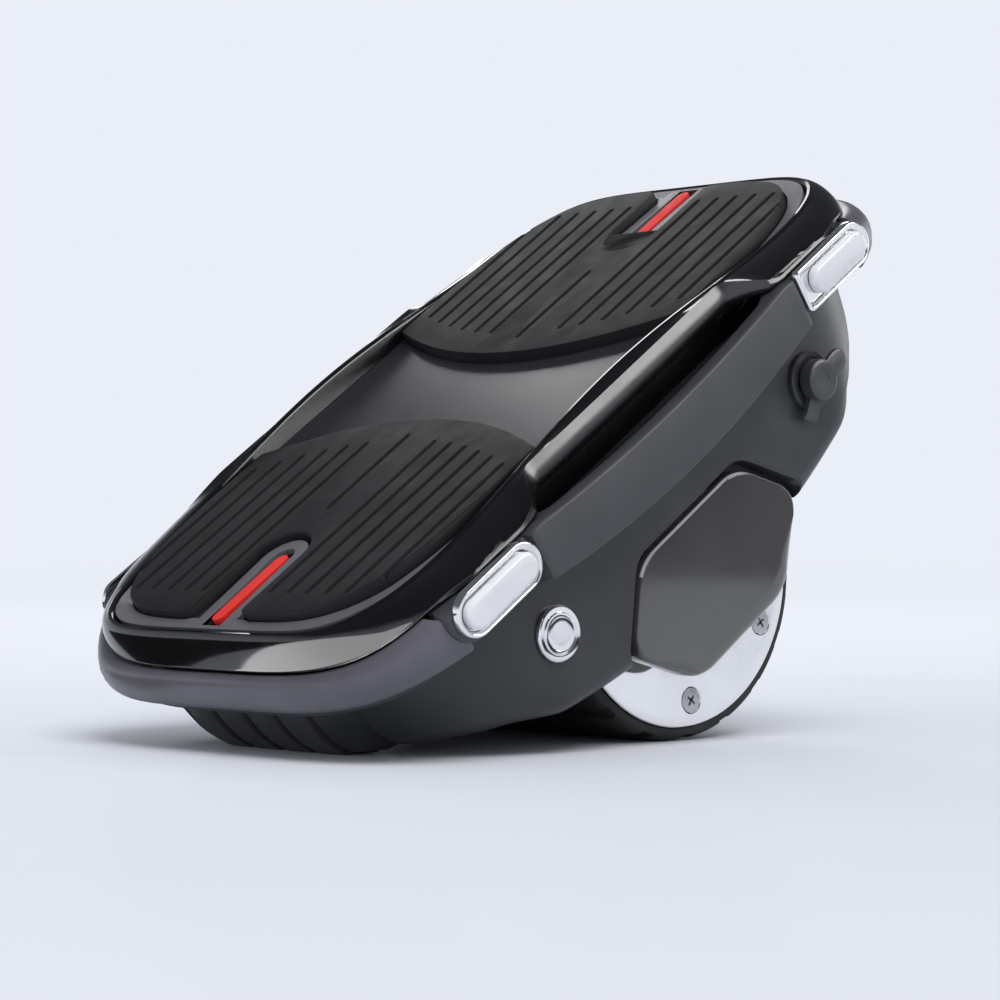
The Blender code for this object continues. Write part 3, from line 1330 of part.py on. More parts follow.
clear_scene()
PARTS = new_collection("hover_shoe")
CUTTERS = new_collection("hover_shoe_cutters")
ROOT = new_empty("hover_shoe", None)
SHOE = new_empty("shoe_frame", ROOT)
SHOE.rotation_euler = (0, -ground_slope(), 0)
WHEEL = new_empty("wheel_axis", SHOE)

deck_frame()
trim_plate()
shell = lower_shell()
chassis()
axle()
stator()
rotor_drum(WHEEL)
hub_screws(WHEEL, hub_cover(WHEEL))
tyre(WHEEL)
magnet_ring(WHEEL)
for end_name, end_direction in ENDS.items():
    pad(end_name, end_direction)
    marker(end_name, end_direction)
    diffuser(end_name, end_direction)
    led_board(end_name, end_direction)
    foot(end_name, end_direction, shell)
    switch_board(end_name, end_direction)
    for side_name, side_direction in SIDES.items():
        pill(end_name, side_name, end_direction, side_direction)
for side_name, side_direction in SIDES.items():
    rail(side_name, side_direction)
    hex_cover(side_name, side_direction)
    axle_nut(side_name, side_direction)
    bearing(side_name, side_direction)
power_button()
charge_port()
dust_cap()
battery_pack()
control_board()
stand_on_ground()
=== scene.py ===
"""Looks of the hover shoe: fine surfaces and finishes, a pale studio and the photograph's view.

Shapes are modelled in the shoe's own frame, in millimetres from the middle of the axle: +X to the
toe, +Y to the far side and +Z square to the deck. The CAD's own pieces give where that frame lies
in the world."""

import json
from math import asin, atan2, cos, pi, radians, sin

import bmesh
import bpy
from mathutils import Matrix, Vector


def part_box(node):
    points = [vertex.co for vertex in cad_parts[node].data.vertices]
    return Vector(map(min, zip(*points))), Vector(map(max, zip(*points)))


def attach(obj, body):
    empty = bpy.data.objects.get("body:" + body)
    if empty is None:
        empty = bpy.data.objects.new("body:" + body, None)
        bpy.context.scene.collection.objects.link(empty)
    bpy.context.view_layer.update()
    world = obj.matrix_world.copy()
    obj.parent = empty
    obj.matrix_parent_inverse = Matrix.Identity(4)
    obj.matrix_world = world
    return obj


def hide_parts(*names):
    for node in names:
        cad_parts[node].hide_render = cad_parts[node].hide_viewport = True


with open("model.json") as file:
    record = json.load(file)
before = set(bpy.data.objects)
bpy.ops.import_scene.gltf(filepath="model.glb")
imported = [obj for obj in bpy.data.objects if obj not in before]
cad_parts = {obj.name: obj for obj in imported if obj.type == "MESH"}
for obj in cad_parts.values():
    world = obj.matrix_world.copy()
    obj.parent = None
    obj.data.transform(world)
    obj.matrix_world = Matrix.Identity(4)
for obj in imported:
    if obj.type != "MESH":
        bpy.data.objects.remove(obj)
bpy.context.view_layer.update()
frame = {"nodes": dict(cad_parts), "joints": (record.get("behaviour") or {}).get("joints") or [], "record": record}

MM = 0.001
ENDS = {"heel": -1, "toe": 1}
SIDES = {"near": -1, "far": 1}
GAP = 0.3
GRAIN_DEPTH = 0.05


def shoe_matrix():
    """From the shoe's frame in millimetres to the world: the axle's middle and the deck's tilt."""
    low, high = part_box("axle")
    press = next(joint for joint in frame["joints"] if joint["name"] == "toe_pad_press")
    tilt = asin(press["axis"][0])
    turn = Matrix.Rotation(-tilt, 4, "Y")
    return Matrix.Translation((low + high) / 2) @ turn @ Matrix.Scale(MM, 4)


SHOE = shoe_matrix()

# Wheel
TYRE_RADIUS = 55
TREAD_BLOCKS = 18
TREAD_DEPTH = 1.6
TREAD_START = 28.5
TYRE_INNER_RADIUS = 51
HUB_SCREW_CIRCLE = 42
HUB_SCREW_FIRST_ANGLE = radians(-58.5)

# Deck
DECK_HALF_LENGTH = 134
DECK_HALF_WIDTH = 73.3
DECK_POWER = 6
DECK_HEIGHT = 74
DECK_ARCH = 7
DECK_ARCH_HALF_LENGTH = 110
DECK_WALL = 1.6
TRAY_FLOOR = 69
BAND_HALF_LENGTH = 139
BAND_HALF_WIDTH = 92
BAND_SIDE = 86.5
BAND_POWER = 4
BAND_END_HEIGHT = 63.6
BAND_SIDE_HEIGHT = 69.6
WAIST_HALF_WIDTH = 77
WAIST_HEIGHT = 78.6
WAIST_START = 72
WAIST_END = 50
LIP_START = 114
LIP_END = 102
RECESS_HALF_WIDTH = 70
SKIRT_HALF_LENGTH = 130
SKIRT_HALF_WIDTH = 76.7
SKIRT_POWER = 4.5
FRAME_BOTTOM = 58.5
GASKET = 1.2

# Pads and trim
PLATE_HEIGHT = 73
LIP_HEIGHT = 74
PAD_HEIGHT = 77
PAD_BOTTOM = 70.6
PAD_HALF_LENGTH = 127.5
PAD_HALF_WIDTH = 69.2
PAD_POWER = 5
PAD_INNER_X = 20
PAD_INNER_SWEEP = 19
PAD_GROOVE_PITCH = 9
PAD_GROOVE_DEPTH = 1.5
PAD_GROOVES_PER_SIDE = 6
PAD_GROOVE_OUTER_X = 116
PAD_GROOVE_MARGIN = 13
CENTRE_GROOVE_END = 71
TONGUE_TIP_X = 85
TONGUE_HALF_WIDTH = 12
SLOT_TIP_X = 91
SLOT_HALF_WIDTH = 4.7
SLOT_OUTER_X = 130.5
SLOT_FLOOR = 71.4
MARKER_TIP_X = 94
MARKER_OUTER_X = 128.5
MARKER_HALF_WIDTH = 2.6
MARKER_HEIGHT = 74.6


def smooth(value, start, end):
    share = min(1, max(0, (value - start) / (end - start)))
    return share * share * (3 - 2 * share)


def mix(low, high, share):
    return low + (high - low) * share


# Materials
def feed(tree, node, inputs):
    """Sets a node's inputs, each to a value or to the output that it follows."""
    for name, value in inputs.items():
        if isinstance(value, bpy.types.NodeSocket):
            tree.links.new(value, node.inputs[name])
        else:
            node.inputs[name].default_value = value


def add_node(tree, kind, output, inputs=None, **settings):
    """An output of a new shader node, whose settings and inputs are set first."""
    node = tree.nodes.new("ShaderNode" + kind)
    for name, value in settings.items():
        setattr(node, name, value)
    feed(tree, node, inputs or {})
    return node.outputs[output]


def mapped(tree, value, start, end, low=0.0, high=1.0, **settings):
    """A value that runs from low to high while another runs from start to end."""
    inputs = {"Value": value, "From Min": start, "From Max": end, "To Min": low, "To Max": high}
    return add_node(tree, "MapRange", "Result", inputs, **settings)


def new_material(name, colour, roughness, metallic=0.0):
    """A Principled material, its tree and its shader."""
    material = bpy.data.materials.new(name)
    material.use_nodes = True
    tree = material.node_tree
    shader = tree.nodes["Principled BSDF"]
    feed(tree, shader, {"Base Color": (*colour, 1), "Roughness": roughness, "Metallic": metallic})
    return material, tree, shader


def noise(tree, scale, detail=2.0, stretch=(1, 1, 1)):
    """Noise over the object's own coordinates; the scale is in features a millimetre."""
    place = add_node(tree, "TexCoord", "Object")
    place = add_node(tree, "Mapping", "Vector", {"Scale": stretch, "Vector": place})
    return add_node(tree, "TexNoise", "Fac", {"Scale": scale / MM, "Detail": detail, "Vector": place})


def roughen(tree, shader, factor, low, high):
    """Runs the roughness between two values by a factor."""
    feed(tree, shader, {"Roughness": mapped(tree, factor, 0.3, 0.7, low, high)})


def tint(tree, shader, factor, low, high):
    """Runs the base colour between two colours by a factor."""
    ramp = tree.nodes.new("ShaderNodeValToRGB")
    for stop, position, colour in zip(ramp.color_ramp.elements, (0.32, 0.68), (low, high)):
        stop.position = position
        stop.color = (*colour, 1)
    feed(tree, ramp, {"Fac": factor})
    feed(tree, shader, {"Base Color": ramp.outputs["Color"]})


def moulded(name, dark, light, roughness, spread, grain_scale, grain_strength, coat=0.0, specular=0.5):
    """A moulded plastic or rubber: slow colour change, slight roughness change and a fine grain."""
    material, tree, shader = new_material(name, light, roughness)
    tint(tree, shader, noise(tree, 0.035, 3), dark, light)
    roughen(tree, shader, noise(tree, 0.11, 4), roughness - spread, roughness + spread)
    feed(tree, shader, {"Specular IOR Level": specular, "Coat Weight": coat, "Coat Roughness": 0.04})
    if grain_strength:
        height = noise(tree, grain_scale, 3)
        bump = {"Strength": grain_strength, "Distance": GRAIN_DEPTH * MM, "Height": height}
        feed(tree, shader, {"Normal": add_node(tree, "Bump", "Normal", bump)})
    return material


def bright_metal(name, colour, roughness, spread, stretch=(1, 1, 1)):
    """A metal with faint wiping marks."""
    material, tree, shader = new_material(name, colour, roughness, 1.0)
    marks = noise(tree, 0.25, 5, stretch)
    roughen(tree, shader, marks, max(0.02, roughness - spread), roughness + spread)
    darker = tuple(channel * 0.93 for channel in colour)
    tint(tree, shader, noise(tree, 0.05, 2), darker, colour)
    return material


def smoky_lens():
    """Smoked diffuser: a milky, violet grey plastic."""
    violet = (0.12, 0.115, 0.14)
    material, tree, shader = new_material("smoky_lens", violet, 0.36)
    tint(tree, shader, noise(tree, 0.03, 3), (0.085, 0.082, 0.102), violet)
    roughen(tree, shader, noise(tree, 0.15, 3), 0.33, 0.4)
    feed(tree, shader, {"Coat Weight": 0.15, "Coat Roughness": 0.2})
    return material


# Each moulding: dark and light colour, roughness and its spread, the grain's scale and strength, coat
# and gloss
MOULDINGS = {
    "gloss_black": ((0.0022, 0.0022, 0.0026), (0.004, 0.004, 0.0046), 0.12, 0.03, 2.5, 0.0, 0.3),
    "satin_grey": ((0.02, 0.02, 0.024), (0.026, 0.026, 0.03), 0.2, 0.012, 6.0, 0.05),
    "pad_rubber": ((0.006, 0.006, 0.0068), (0.0095, 0.0095, 0.0108), 0.58, 0.05, 4.0, 0.25),
    "matte_grey": ((0.038, 0.0394, 0.0452), (0.048, 0.0498, 0.0572), 0.44, 0.04, 5.0, 0.12),
    "body_grey": ((0.025, 0.0262, 0.0302), (0.034, 0.0356, 0.041), 0.36, 0.04, 5.0, 0.1),
    # satin black: the deck frame's own satin finish under the band; in the feet's grooves it is painted shade
    "satin_black_and_groove_shade": ((0.003, 0.003, 0.0034), (0.005, 0.005, 0.0056), 0.26, 0.03, 4.0, 0.08, 0.0, 1.0),
    "cover_gloss": ((0.07, 0.069, 0.069), (0.078, 0.077, 0.077), 0.06, 0.015, 4.0, 0.0, 0.3, 0.8),
    # painted highlight: pale grey painted on the axle covers' upper bevel
    "painted_bevel_highlight": ((0.62, 0.62, 0.63), (0.7, 0.7, 0.71), 0.3, 0.03, 4.0, 0.05),
    # painted highlight: lighter grey painted on the strip round the pads and on the marker borders, for the bright
    # lines along their edges
    "border_highlight_grey": ((0.11, 0.11, 0.122), (0.13, 0.13, 0.144), 0.45, 0.03, 6.0, 0.08),
    "cap_rubber": ((0.028, 0.03, 0.034), (0.045, 0.047, 0.053), 0.34, 0.05, 3.0, 0.15, 0.15),
    "tyre_rubber": ((0.008, 0.008, 0.008), (0.016, 0.016, 0.016), 0.7, 0.08, 2.5, 0.3),
    "marker_red": ((0.66, 0.02, 0.014), (0.8, 0.03, 0.022), 0.6, 0.05, 4.0, 0.05),
    "badge_white": ((0.7, 0.71, 0.74), (0.78, 0.79, 0.82), 0.25, 0.05, 4.0, 0.0, 0.5),
    "circuit_board": ((0.01, 0.08, 0.03), (0.02, 0.13, 0.05), 0.4, 0.05, 3.0, 0.1),
    "battery_wrap": ((0.01, 0.03, 0.14), (0.02, 0.045, 0.2), 0.35, 0.05, 0.8, 0.3),
}
# Each metal: colour, roughness and its spread, and how the wiping marks are drawn out
METALS = {
    "bright_chrome": ((0.96, 0.96, 0.965), 0.08, 0.03),
    "steel": ((0.55, 0.55, 0.56), 0.28, 0.08, (1, 6, 1)),
    "bare_aluminium": ((0.7, 0.7, 0.71), 0.38, 0.08, (6, 1, 1)),
}
MATERIALS = {name: moulded(name, *look) for name, look in MOULDINGS.items()}
MATERIALS |= {name: bright_metal(name, *look) for name, look in METALS.items()}
MATERIALS["smoke_lens"] = smoky_lens()
for part in frame["record"]["subparts"]:
    node = frame["nodes"][part["node"]]
    node.data.materials.clear()
    node.data.materials.append(MATERIALS[part["material_slot"]])

# Making pieces
SHARP_ANGLE = 32
BEVEL_ANGLE = 50


def mesh_of(name, skin):
    """A mesh from a skin, which is used up."""
    mesh = bpy.data.meshes.new(name)
    skin.to_mesh(mesh)
    skin.free()
    return mesh


def placed_mesh(name, skin):
    """A mesh from a closed skin, moved from the shoe's frame to the world."""
    bmesh.ops.recalc_face_normals(skin, faces=skin.faces)
    mesh = mesh_of(name, skin)
    mesh.transform(SHOE)
    return mesh


def shade(mesh, sharp=SHARP_ANGLE):
    """Smooth shading but for edges sharper than an angle in degrees."""
    mesh.shade_smooth()
    mesh.set_sharp_from_angle(angle=radians(sharp))


def new_object(name, data):
    """An object that is linked into the scene."""
    made = bpy.data.objects.new(name, data)
    bpy.context.scene.collection.objects.link(made)
    return made


def add_piece(name, skin, finish, replaced=(), body="body", sharp=SHARP_ANGLE):
    """A piece from a skin in the shoe's frame, placed in the world and painted."""
    mesh = placed_mesh(name, skin)
    shade(mesh, sharp)
    mesh.materials.append(MATERIALS[finish])
    piece = new_object(name, mesh)
    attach(piece, body)
    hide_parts(*replaced)
    return piece


def trim(piece, skin, operation="DIFFERENCE"):
    """Cuts a skin from a piece, or joins it on, and keeps the result as the piece's own mesh."""
    mesh = placed_mesh("cutter", skin)
    cutter = new_object("cutter", mesh)
    boolean = piece.modifiers.new("cut", "BOOLEAN")
    boolean.operation = operation
    boolean.object = cutter
    apply_modifiers(piece)
    bpy.data.objects.remove(cutter, do_unlink=True)
    bpy.data.meshes.remove(mesh)


def apply_modifiers(piece):
    graph = bpy.context.evaluated_depsgraph_get()
    made = bpy.data.meshes.new_from_object(piece.evaluated_get(graph), depsgraph=graph)
    old = piece.data
    piece.modifiers.clear()
    piece.data = made
    made.name = piece.name
    bpy.data.meshes.remove(old)
    shade(made)


def repaint(piece, finish, chosen):
    """Gives a second material to the faces whose centre (x, y, z), in the shoe's frame, is chosen; besides
    finishes, it lays painted highlights and painted shade.
    """
    piece.data.materials.append(MATERIALS[finish])
    to_shoe = SHOE.inverted()
    for face in piece.data.polygons:
        if chosen(*(to_shoe @ face.center)):
            face.material_index = 1


def round_edges(piece, width, segments):
    bevel = piece.modifiers.new("rounding", "BEVEL")
    bevel.width = width * MM
    bevel.segments = segments
    bevel.limit_method = "ANGLE"
    bevel.angle_limit = radians(BEVEL_ANGLE)
    apply_modifiers(piece)


def joined(skins):
    """One skin from several."""
    whole = bmesh.new()
    for skin in skins:
        mesh = mesh_of("joined", skin)
        whole.from_mesh(mesh)
        bpy.data.meshes.remove(mesh)
    return whole


def layered(layers, closed=True):
    """A skin through layers of points that match one to one; a closed one has both its ends filled."""
    skin = bmesh.new()
    rows = [[skin.verts.new(point) for point in layer] for layer in layers]
    count = len(layers[0])
    for above, below in zip(rows, rows[1:]):
        for i in range(count):
            j = (i + 1) % count
            skin.faces.new((above[i], above[j], below[j], below[i]))
    if closed:
        caps = [skin.faces.new(rows[0]), skin.faces.new(rows[-1])]
        bmesh.ops.triangulate(skin, faces=caps)
    return skin


def flat_prism(outline, low, high):
    """An (x, y) outline raised from low to high."""
    return layered([[(x, y, low) for x, y in outline], [(x, y, high) for x, y in outline]])


def end_prism(outline, sign, low, high):
    """An (x, y) outline of the toe end, or of the heel end by its sign, raised from low to high."""
    return flat_prism([(sign * x, y) for x, y in outline], low, high)


def upright(outline, y):
    """An (x, z) outline as points that all lie at one y."""
    return [(x, y, z) for x, z in outline]


def bay(size, low, high, middle=0):
    """A box over the shoe's middle line, from its half length and half width."""
    half_length, y = size
    x0, x1 = middle - half_length, middle + half_length
    return flat_prism([(x0, -y), (x1, -y), (x1, y), (x0, y)], low, high)


# Plan rings of the moulded body
END_STEPS = 22
SIDE_STEPS = 64


def fullness(share, power):
    """The height of a unit superellipse at a share of its length."""
    return (1 - share**power) ** (1 / power)


def quarter(power):
    """Unit points of a superellipse's quarter, from its end (1, 0) to its side (0, 1)."""
    knee = 0.5 ** (1 / power)
    ends = [knee * i / END_STEPS for i in range(END_STEPS)]
    sides = [knee * (1 - i / SIDE_STEPS) for i in range(SIDE_STEPS + 1)]
    return [(fullness(v, power), v) for v in ends] + [(u, fullness(u, power)) for u in sides]


def whole_ring(points, height):
    """A closed ring from the points of its toe and far quarter; height is a function of |x|."""
    around = points + [(-x, y) for x, y in points[-2::-1]]
    around += [(x, -y) for x, y in around[-2:0:-1]]
    return [(x, y, height(abs(x))) for x, y in around]


def always(value):
    return lambda x: value


def plan_ring(length, width, power, height, limit=always(BAND_HALF_WIDTH)):
    """A superelliptic ring; width, height and the limit on the width are functions of |x|."""
    points = [(length * u, min(width(length * u) * v, limit(length * u))) for u, v in quarter(power)]
    return whole_ring(points, height)


def ring_skin(rings):
    """A closed skin over plan rings; strips straight across the shoe close its top and bottom."""
    skin = layered(rings, closed=False)
    skin.verts.ensure_lookup_table()
    count = len(rings[0])
    half = count // 2
    for start in (0, count * (len(rings) - 1)):
        ring = skin.verts[start:start + count]
        skin.faces.new((ring[0], ring[1], ring[-1]))
        for i in range(1, half - 1):
            skin.faces.new((ring[i], ring[i + 1], ring[count - i - 1], ring[count - i]))
        skin.faces.new((ring[half - 1], ring[half], ring[half + 1]))
    return skin


def ridge_height(x):
    if x >= DECK_ARCH_HALF_LENGTH:
        return DECK_HEIGHT
    return DECK_HEIGHT + DECK_ARCH * cos(pi / 2 * x / DECK_ARCH_HALF_LENGTH) ** 2


def scallop(x):
    """1 in the waist and 0 towards the ends."""
    return smooth(x, WAIST_START, WAIST_END)


def band_width(x):
    return mix(BAND_HALF_WIDTH, WAIST_HALF_WIDTH, scallop(x))


def skirt_width(x):
    return mix(SKIRT_HALF_WIDTH, RECESS_HALF_WIDTH, scallop(x))


def band_height(x):
    side = mix(BAND_SIDE_HEIGHT, WAIST_HEIGHT, scallop(x))
    return mix(side, BAND_END_HEIGHT, smooth(x, 100, 136))


# Deck frame, with the bays for the bracket and the switch boards: half length and half width
BRACKET_BAY = (40.3, 67.3)
BRACKET_BAY_FLOOR = 38.5
BRACKET_BAY_TOP = 63.8
SWITCH_BAY = (22.3, 50.3)
SWITCH_BAY_DEPTH = 2.2
# Round the rim: how far out from the deck's outline, along and across, and how high above its ridge
RIM_PROFILE = (
    (-1.45, -1.65, -1.5), (-1.2, -1.45, -0.7), (-0.7, -0.95, -0.15), (0, 0, 0),
    (0.4, 0.5, -0.25), (0.75, 1, -0.7),
)
BAND_SHARES = (0.12, 0.26, 0.4, 0.54, 0.68, 0.8, 0.9, 0.97, 1)
# Under the band: half length, half width, its limit and the drop; in the waist, half width and drop
UNDER_PROFILE = (
    (138.95, 91.9, 86.4, 0.3, 77.1, 0.3), (138.8, 91.6, 86.2, 0.7, 77.45, 1.2),
    (138.4, 91, 85.8, 1, 77.9, 2.5), (137.8, 90, 85, 1.2, 78.2, 3.8),
    (136.8, 88, 83.6, 1.25, 78.35, 5.2), (135.4, 85.6, 82, 1.3, 78.3, 6.7),
    (133.2, 81.2, 80, 1.4, 77.6, 8.8), (131, 78, 78.7, 1.8, 75.2, 11.8),
    (130, 76.7, 78.7, 3, 72.2, 14.8), (130, 76.7, 78.7, 5, 70.3, 17.2),
)


def rim_ring(along, across, rise):
    width = always(DECK_HALF_WIDTH + across)
    return plan_ring(DECK_HALF_LENGTH + along, width, DECK_POWER, lambda x: ridge_height(x) + rise)


def band_ring(share):
    """A ring of the side band, at a share of the way from the rim to its edge."""
    along, across, rise = RIM_PROFILE[-1]

    def width(x):
        return mix(DECK_HALF_WIDTH + across, band_width(x), share)

    def height(x):
        fall = share ** mix(1.5, 0.8, scallop(x))
        return mix(ridge_height(x) + rise, band_height(x), fall)

    length = mix(DECK_HALF_LENGTH + along, BAND_HALF_LENGTH, share)
    return plan_ring(length, width, mix(DECK_POWER, BAND_POWER, share), height, always(BAND_SIDE))


def under_ring(place, row):
    """A ring of the wrap under the band; towards the waist its lip follows the band's edge."""
    length, full, limit, drop, waist, waist_drop = row

    def fall(x):
        return mix(drop, waist_drop, scallop(x))

    def lipped(x, plain, edge):
        if waist < WAIST_HALF_WIDTH:
            return plain
        lip = edge + (waist - WAIST_HALF_WIDTH) * fall(x) / waist_drop
        return mix(plain, lip, smooth(x, LIP_START, LIP_END))

    def width(x):
        return lipped(x, mix(full, waist, scallop(x)), band_width(x))

    def side_limit(x):
        return lipped(x, limit, BAND_SIDE)

    power = mix(BAND_POWER, SKIRT_POWER, place / (len(UNDER_PROFILE) - 1))
    return plan_ring(length, width, power, lambda x: band_height(x) - fall(x), side_limit)


def skirt_ring(height):
    return plan_ring(SKIRT_HALF_LENGTH, skirt_width, SKIRT_POWER, always(height))


def deck_frame():
    wall_width = DECK_HALF_WIDTH - DECK_WALL - 0.4
    rings = [plan_ring(DECK_HALF_LENGTH - DECK_WALL, always(wall_width), DECK_POWER, always(TRAY_FLOOR))]
    rings += [rim_ring(*row) for row in RIM_PROFILE]
    rings += [band_ring(share) for share in BAND_SHARES]
    rings += [under_ring(place, row) for place, row in enumerate(UNDER_PROFILE)]
    rings.append(skirt_ring(FRAME_BOTTOM))
    piece = add_piece("deck_frame_moulding", ring_skin(rings), "gloss_black", ["deck_frame"], sharp=50)
    trim(piece, bay(BRACKET_BAY, FRAME_BOTTOM - 1, BRACKET_BAY_TOP))
    for sign in ENDS.values():
        middle = sign * (PAD_INNER_X + PAD_HALF_LENGTH) / 2
        trim(piece, bay(SWITCH_BAY, TRAY_FLOOR - SWITCH_BAY_DEPTH, TRAY_FLOOR + 2, middle))

    def wraps_under(x, y, z):
        return z < band_height(abs(x)) - 0.1 and (abs(y) > PAD_HALF_WIDTH or abs(x) > PAD_HALF_LENGTH)

    repaint(piece, "satin_black_and_groove_shade", wraps_under)


# Pads, trim plate and markers
BORDER_START_X = 45
BORDER_HALF_WIDTH = 9.4
BORDER_OUTER_X = 131
BORDER_HEIGHT = 75


def inner_edge(y):
    return PAD_INNER_X + PAD_INNER_SWEEP * (y / PAD_HALF_WIDTH) ** 2


def pad_outline(grow=0):
    """(x, y) points of one pad, or of its window when grown, with a keyhole for the tongue."""
    length = PAD_HALF_LENGTH + grow
    width = PAD_HALF_WIDTH + grow
    key = TONGUE_HALF_WIDTH + GAP - grow
    inner_reach = PAD_INNER_X + PAD_INNER_SWEEP
    outer = [(length * u, width * v) for u, v in quarter(PAD_POWER)]
    outer = [(x, y) for x, y in outer if y > key + 2.5 and x > inner_reach + 2]
    across = [width * 0.99 * (1 - i / 30) for i in range(61)]
    inner = [(inner_edge(y) - grow, y) for y in across]
    tip = TONGUE_TIP_X - GAP + grow + key
    mouth = [(length - 1.2, key + 0.8), (length - 2.4, key)]
    angles = [pi / 2 - pi * i / 24 for i in range(25)]
    keyhole = [(tip - key * cos(angle), key * sin(angle)) for angle in reversed(angles)]
    mirrored = [(x, -y) for x, y in reversed(outer)]
    return outer + inner + mirrored + [(x, -y) for x, y in mouth] + keyhole + mouth[::-1]


def groove_rows():
    """(y, inner end, outer end) of each groove of a pad."""
    rows = [(0, PAD_INNER_X + PAD_GROOVE_MARGIN - 3, CENTRE_GROOVE_END)]
    for row in range(1, PAD_GROOVES_PER_SIDE + 1):
        y = (row + 0.9) * PAD_GROOVE_PITCH
        inner = inner_edge(y) + PAD_GROOVE_MARGIN
        outer = PAD_GROOVE_OUTER_X - 0.05 * max(0, y - 40) - 8 * (row == PAD_GROOVES_PER_SIDE)
        rows += [(y, inner, outer), (-y, inner, outer)]
    return rows


def groove_skin(sign, y, inner, outer):
    """A trough with round ends that widens to the pad's top."""
    layers = []
    for rise, half in ((-PAD_GROOVE_DEPTH, 0.25), (-0.8, 0.5), (-0.3, 0.75), (0.05, 1.3), (0.5, 2.4)):
        outline = arc((outer, y), half, -90, 90, 8) + arc((inner, y), half, 90, 270, 8)
        layers.append([(sign * x, side, PAD_HEIGHT + rise) for x, side in outline])
    return layered(layers)


def pad(end, sign):
    skin = end_prism(pad_outline(), sign, PAD_BOTTOM, PAD_HEIGHT)
    piece = add_piece(f"{end}_pad_rubber", skin, "pad_rubber", [f"{end}_pad"], f"{end}_foot_pad")
    round_edges(piece, 2.2, 6)
    trim(piece, joined(groove_skin(sign, *row) for row in groove_rows()))


def tongue_outline(half_width, tip_x, outer_x):
    """(x, y) points of a strip along the shoe with a round inner end."""
    round_end = arc((tip_x + half_width, 0), half_width, 90, 270, 16)
    return [(outer_x, half_width)] + round_end + [(outer_x, -half_width)]


def cut_slot(piece, sign):
    """Cuts the slot that the red marker stands in."""
    slot = tongue_outline(SLOT_HALF_WIDTH, SLOT_TIP_X, SLOT_OUTER_X)
    trim(piece, end_prism(slot, sign, SLOT_FLOOR, PAD_HEIGHT + 1))


def trim_plate():
    length = DECK_HALF_LENGTH - DECK_WALL - GAP
    width = DECK_HALF_WIDTH - DECK_WALL - 0.4 - GAP

    def top(x):
        return mix(PLATE_HEIGHT, LIP_HEIGHT, smooth(x, PAD_HALF_LENGTH - 22, PAD_HALF_LENGTH))

    heights = (always(TRAY_FLOOR + GAP), top)
    rings = [plan_ring(length, always(width), DECK_POWER, height) for height in heights]
    piece = add_piece("satin_trim", ring_skin(rings), "satin_grey", ["trim_plate"])
    for sign in ENDS.values():
        trim(piece, end_prism(pad_outline(0.5), sign, TRAY_FLOOR - 1, PAD_HEIGHT + 1))
        cut_slot(piece, sign)
    round_edges(piece, 0.45, 3)

    # The strip round the pads is painted a lighter grey: a painted highlight for the bright lines along the rims.
    def on_border(x, y, z):
        reach = (abs(x) / PAD_HALF_LENGTH) ** PAD_POWER + (abs(y) / PAD_HALF_WIDTH) ** PAD_POWER
        return abs(x) > BORDER_START_X and reach > 1

    repaint(piece, "border_highlight_grey", on_border)


def marker_border(end, sign):
    """The raised satin border round the marker's slot; it falls to the plate's lip at its outer end."""
    tip_x = SLOT_TIP_X + SLOT_HALF_WIDTH - BORDER_HALF_WIDTH
    outline = tongue_outline(BORDER_HALF_WIDTH, tip_x, BORDER_OUTER_X)
    low = [(sign * x, y, PLATE_HEIGHT - 0.2) for x, y in outline]
    high = [(sign * x, y, LIP_HEIGHT + 0.1 if x == BORDER_OUTER_X else BORDER_HEIGHT) for x, y in outline]
    # Its lighter grey is a painted highlight for the bright lines along the border's edges.
    piece = add_piece(f"{end}_marker_border", layered([low, high]), "border_highlight_grey")
    cut_slot(piece, sign)
    round_edges(piece, 0.7, 4)


def marker(end, sign):
    inner = tongue_outline(MARKER_HALF_WIDTH, MARKER_TIP_X, MARKER_OUTER_X)[1:-1]
    outer = [(MARKER_TIP_X + MARKER_OUTER_X - x, y) for x, y in inner[::-1]]
    skin = end_prism(inner + outer, sign, SLOT_FLOOR + GAP, MARKER_HEIGHT)
    piece = add_piece(f"{end}_red_marker", skin, "marker_red", [f"{end}_marker"])
    round_edges(piece, 1, 4)


def painted_slot_shade(end, sign):
    """A thin black sheet on the floor of the slot that the red marker stands in: painted shade in the slot."""
    outline = tongue_outline(SLOT_HALF_WIDTH - 0.2, SLOT_TIP_X + 0.2, SLOT_OUTER_X - 0.2)
    skin = end_prism(outline, sign, SLOT_FLOOR - 0.1, SLOT_FLOOR + 0.2)
    add_piece(f"{end}_painted_slot_shade", skin, "gloss_black")


# Light diffusers
DIFFUSER_TIP_X = 111
DIFFUSER_TOP = 62
DIFFUSER_DEPTH = 12
# Round the diffuser: half length, half width, level or else rise under the band, and the plan's power
DIFFUSER_PROFILE = (
    (139.2, 91, None, 0, 4), (140.4, 91.8, None, -0.15, 4.15),
    (141.4, 92.4, None, -0.7, 4.3), (142.3, 92.9, None, -1.7, 4.42),
    (142.9, 93.3, 58.8, 0, 4.5), (143.5, 93.5, 56.6, 0, 4.55),
    (143.7, 93.5, 54.4, 0, 4.55), (143.4, 93.3, 52.4, 0, 4.55),
    (142.9, 92.8, 50.9, 0, 4.5), (141.9, 92.1, 50.1, 0, 4.4),
    (140.9, 91.4, 49.9, 0, 4.3), (139.4, 89.8, 50.1, 0, 4),
    (139, 89.4, 51, 0, 4), (139.4, 89.8, 58, 0, 4),
    (137.4, 89.2, None, -1.2, 4),
)


def tip_offset(level, rise):
    """The S-shaped end of the diffuser: rounded at its top, and further on at its bottom."""
    share = -rise / DIFFUSER_DEPTH if level is None else (DIFFUSER_TOP - level) / DIFFUSER_DEPTH
    return 0.8 - 4.6 * smooth(share, 0.15, 0.9) + 1.6 * (1 - smooth(share, 0, 0.2))


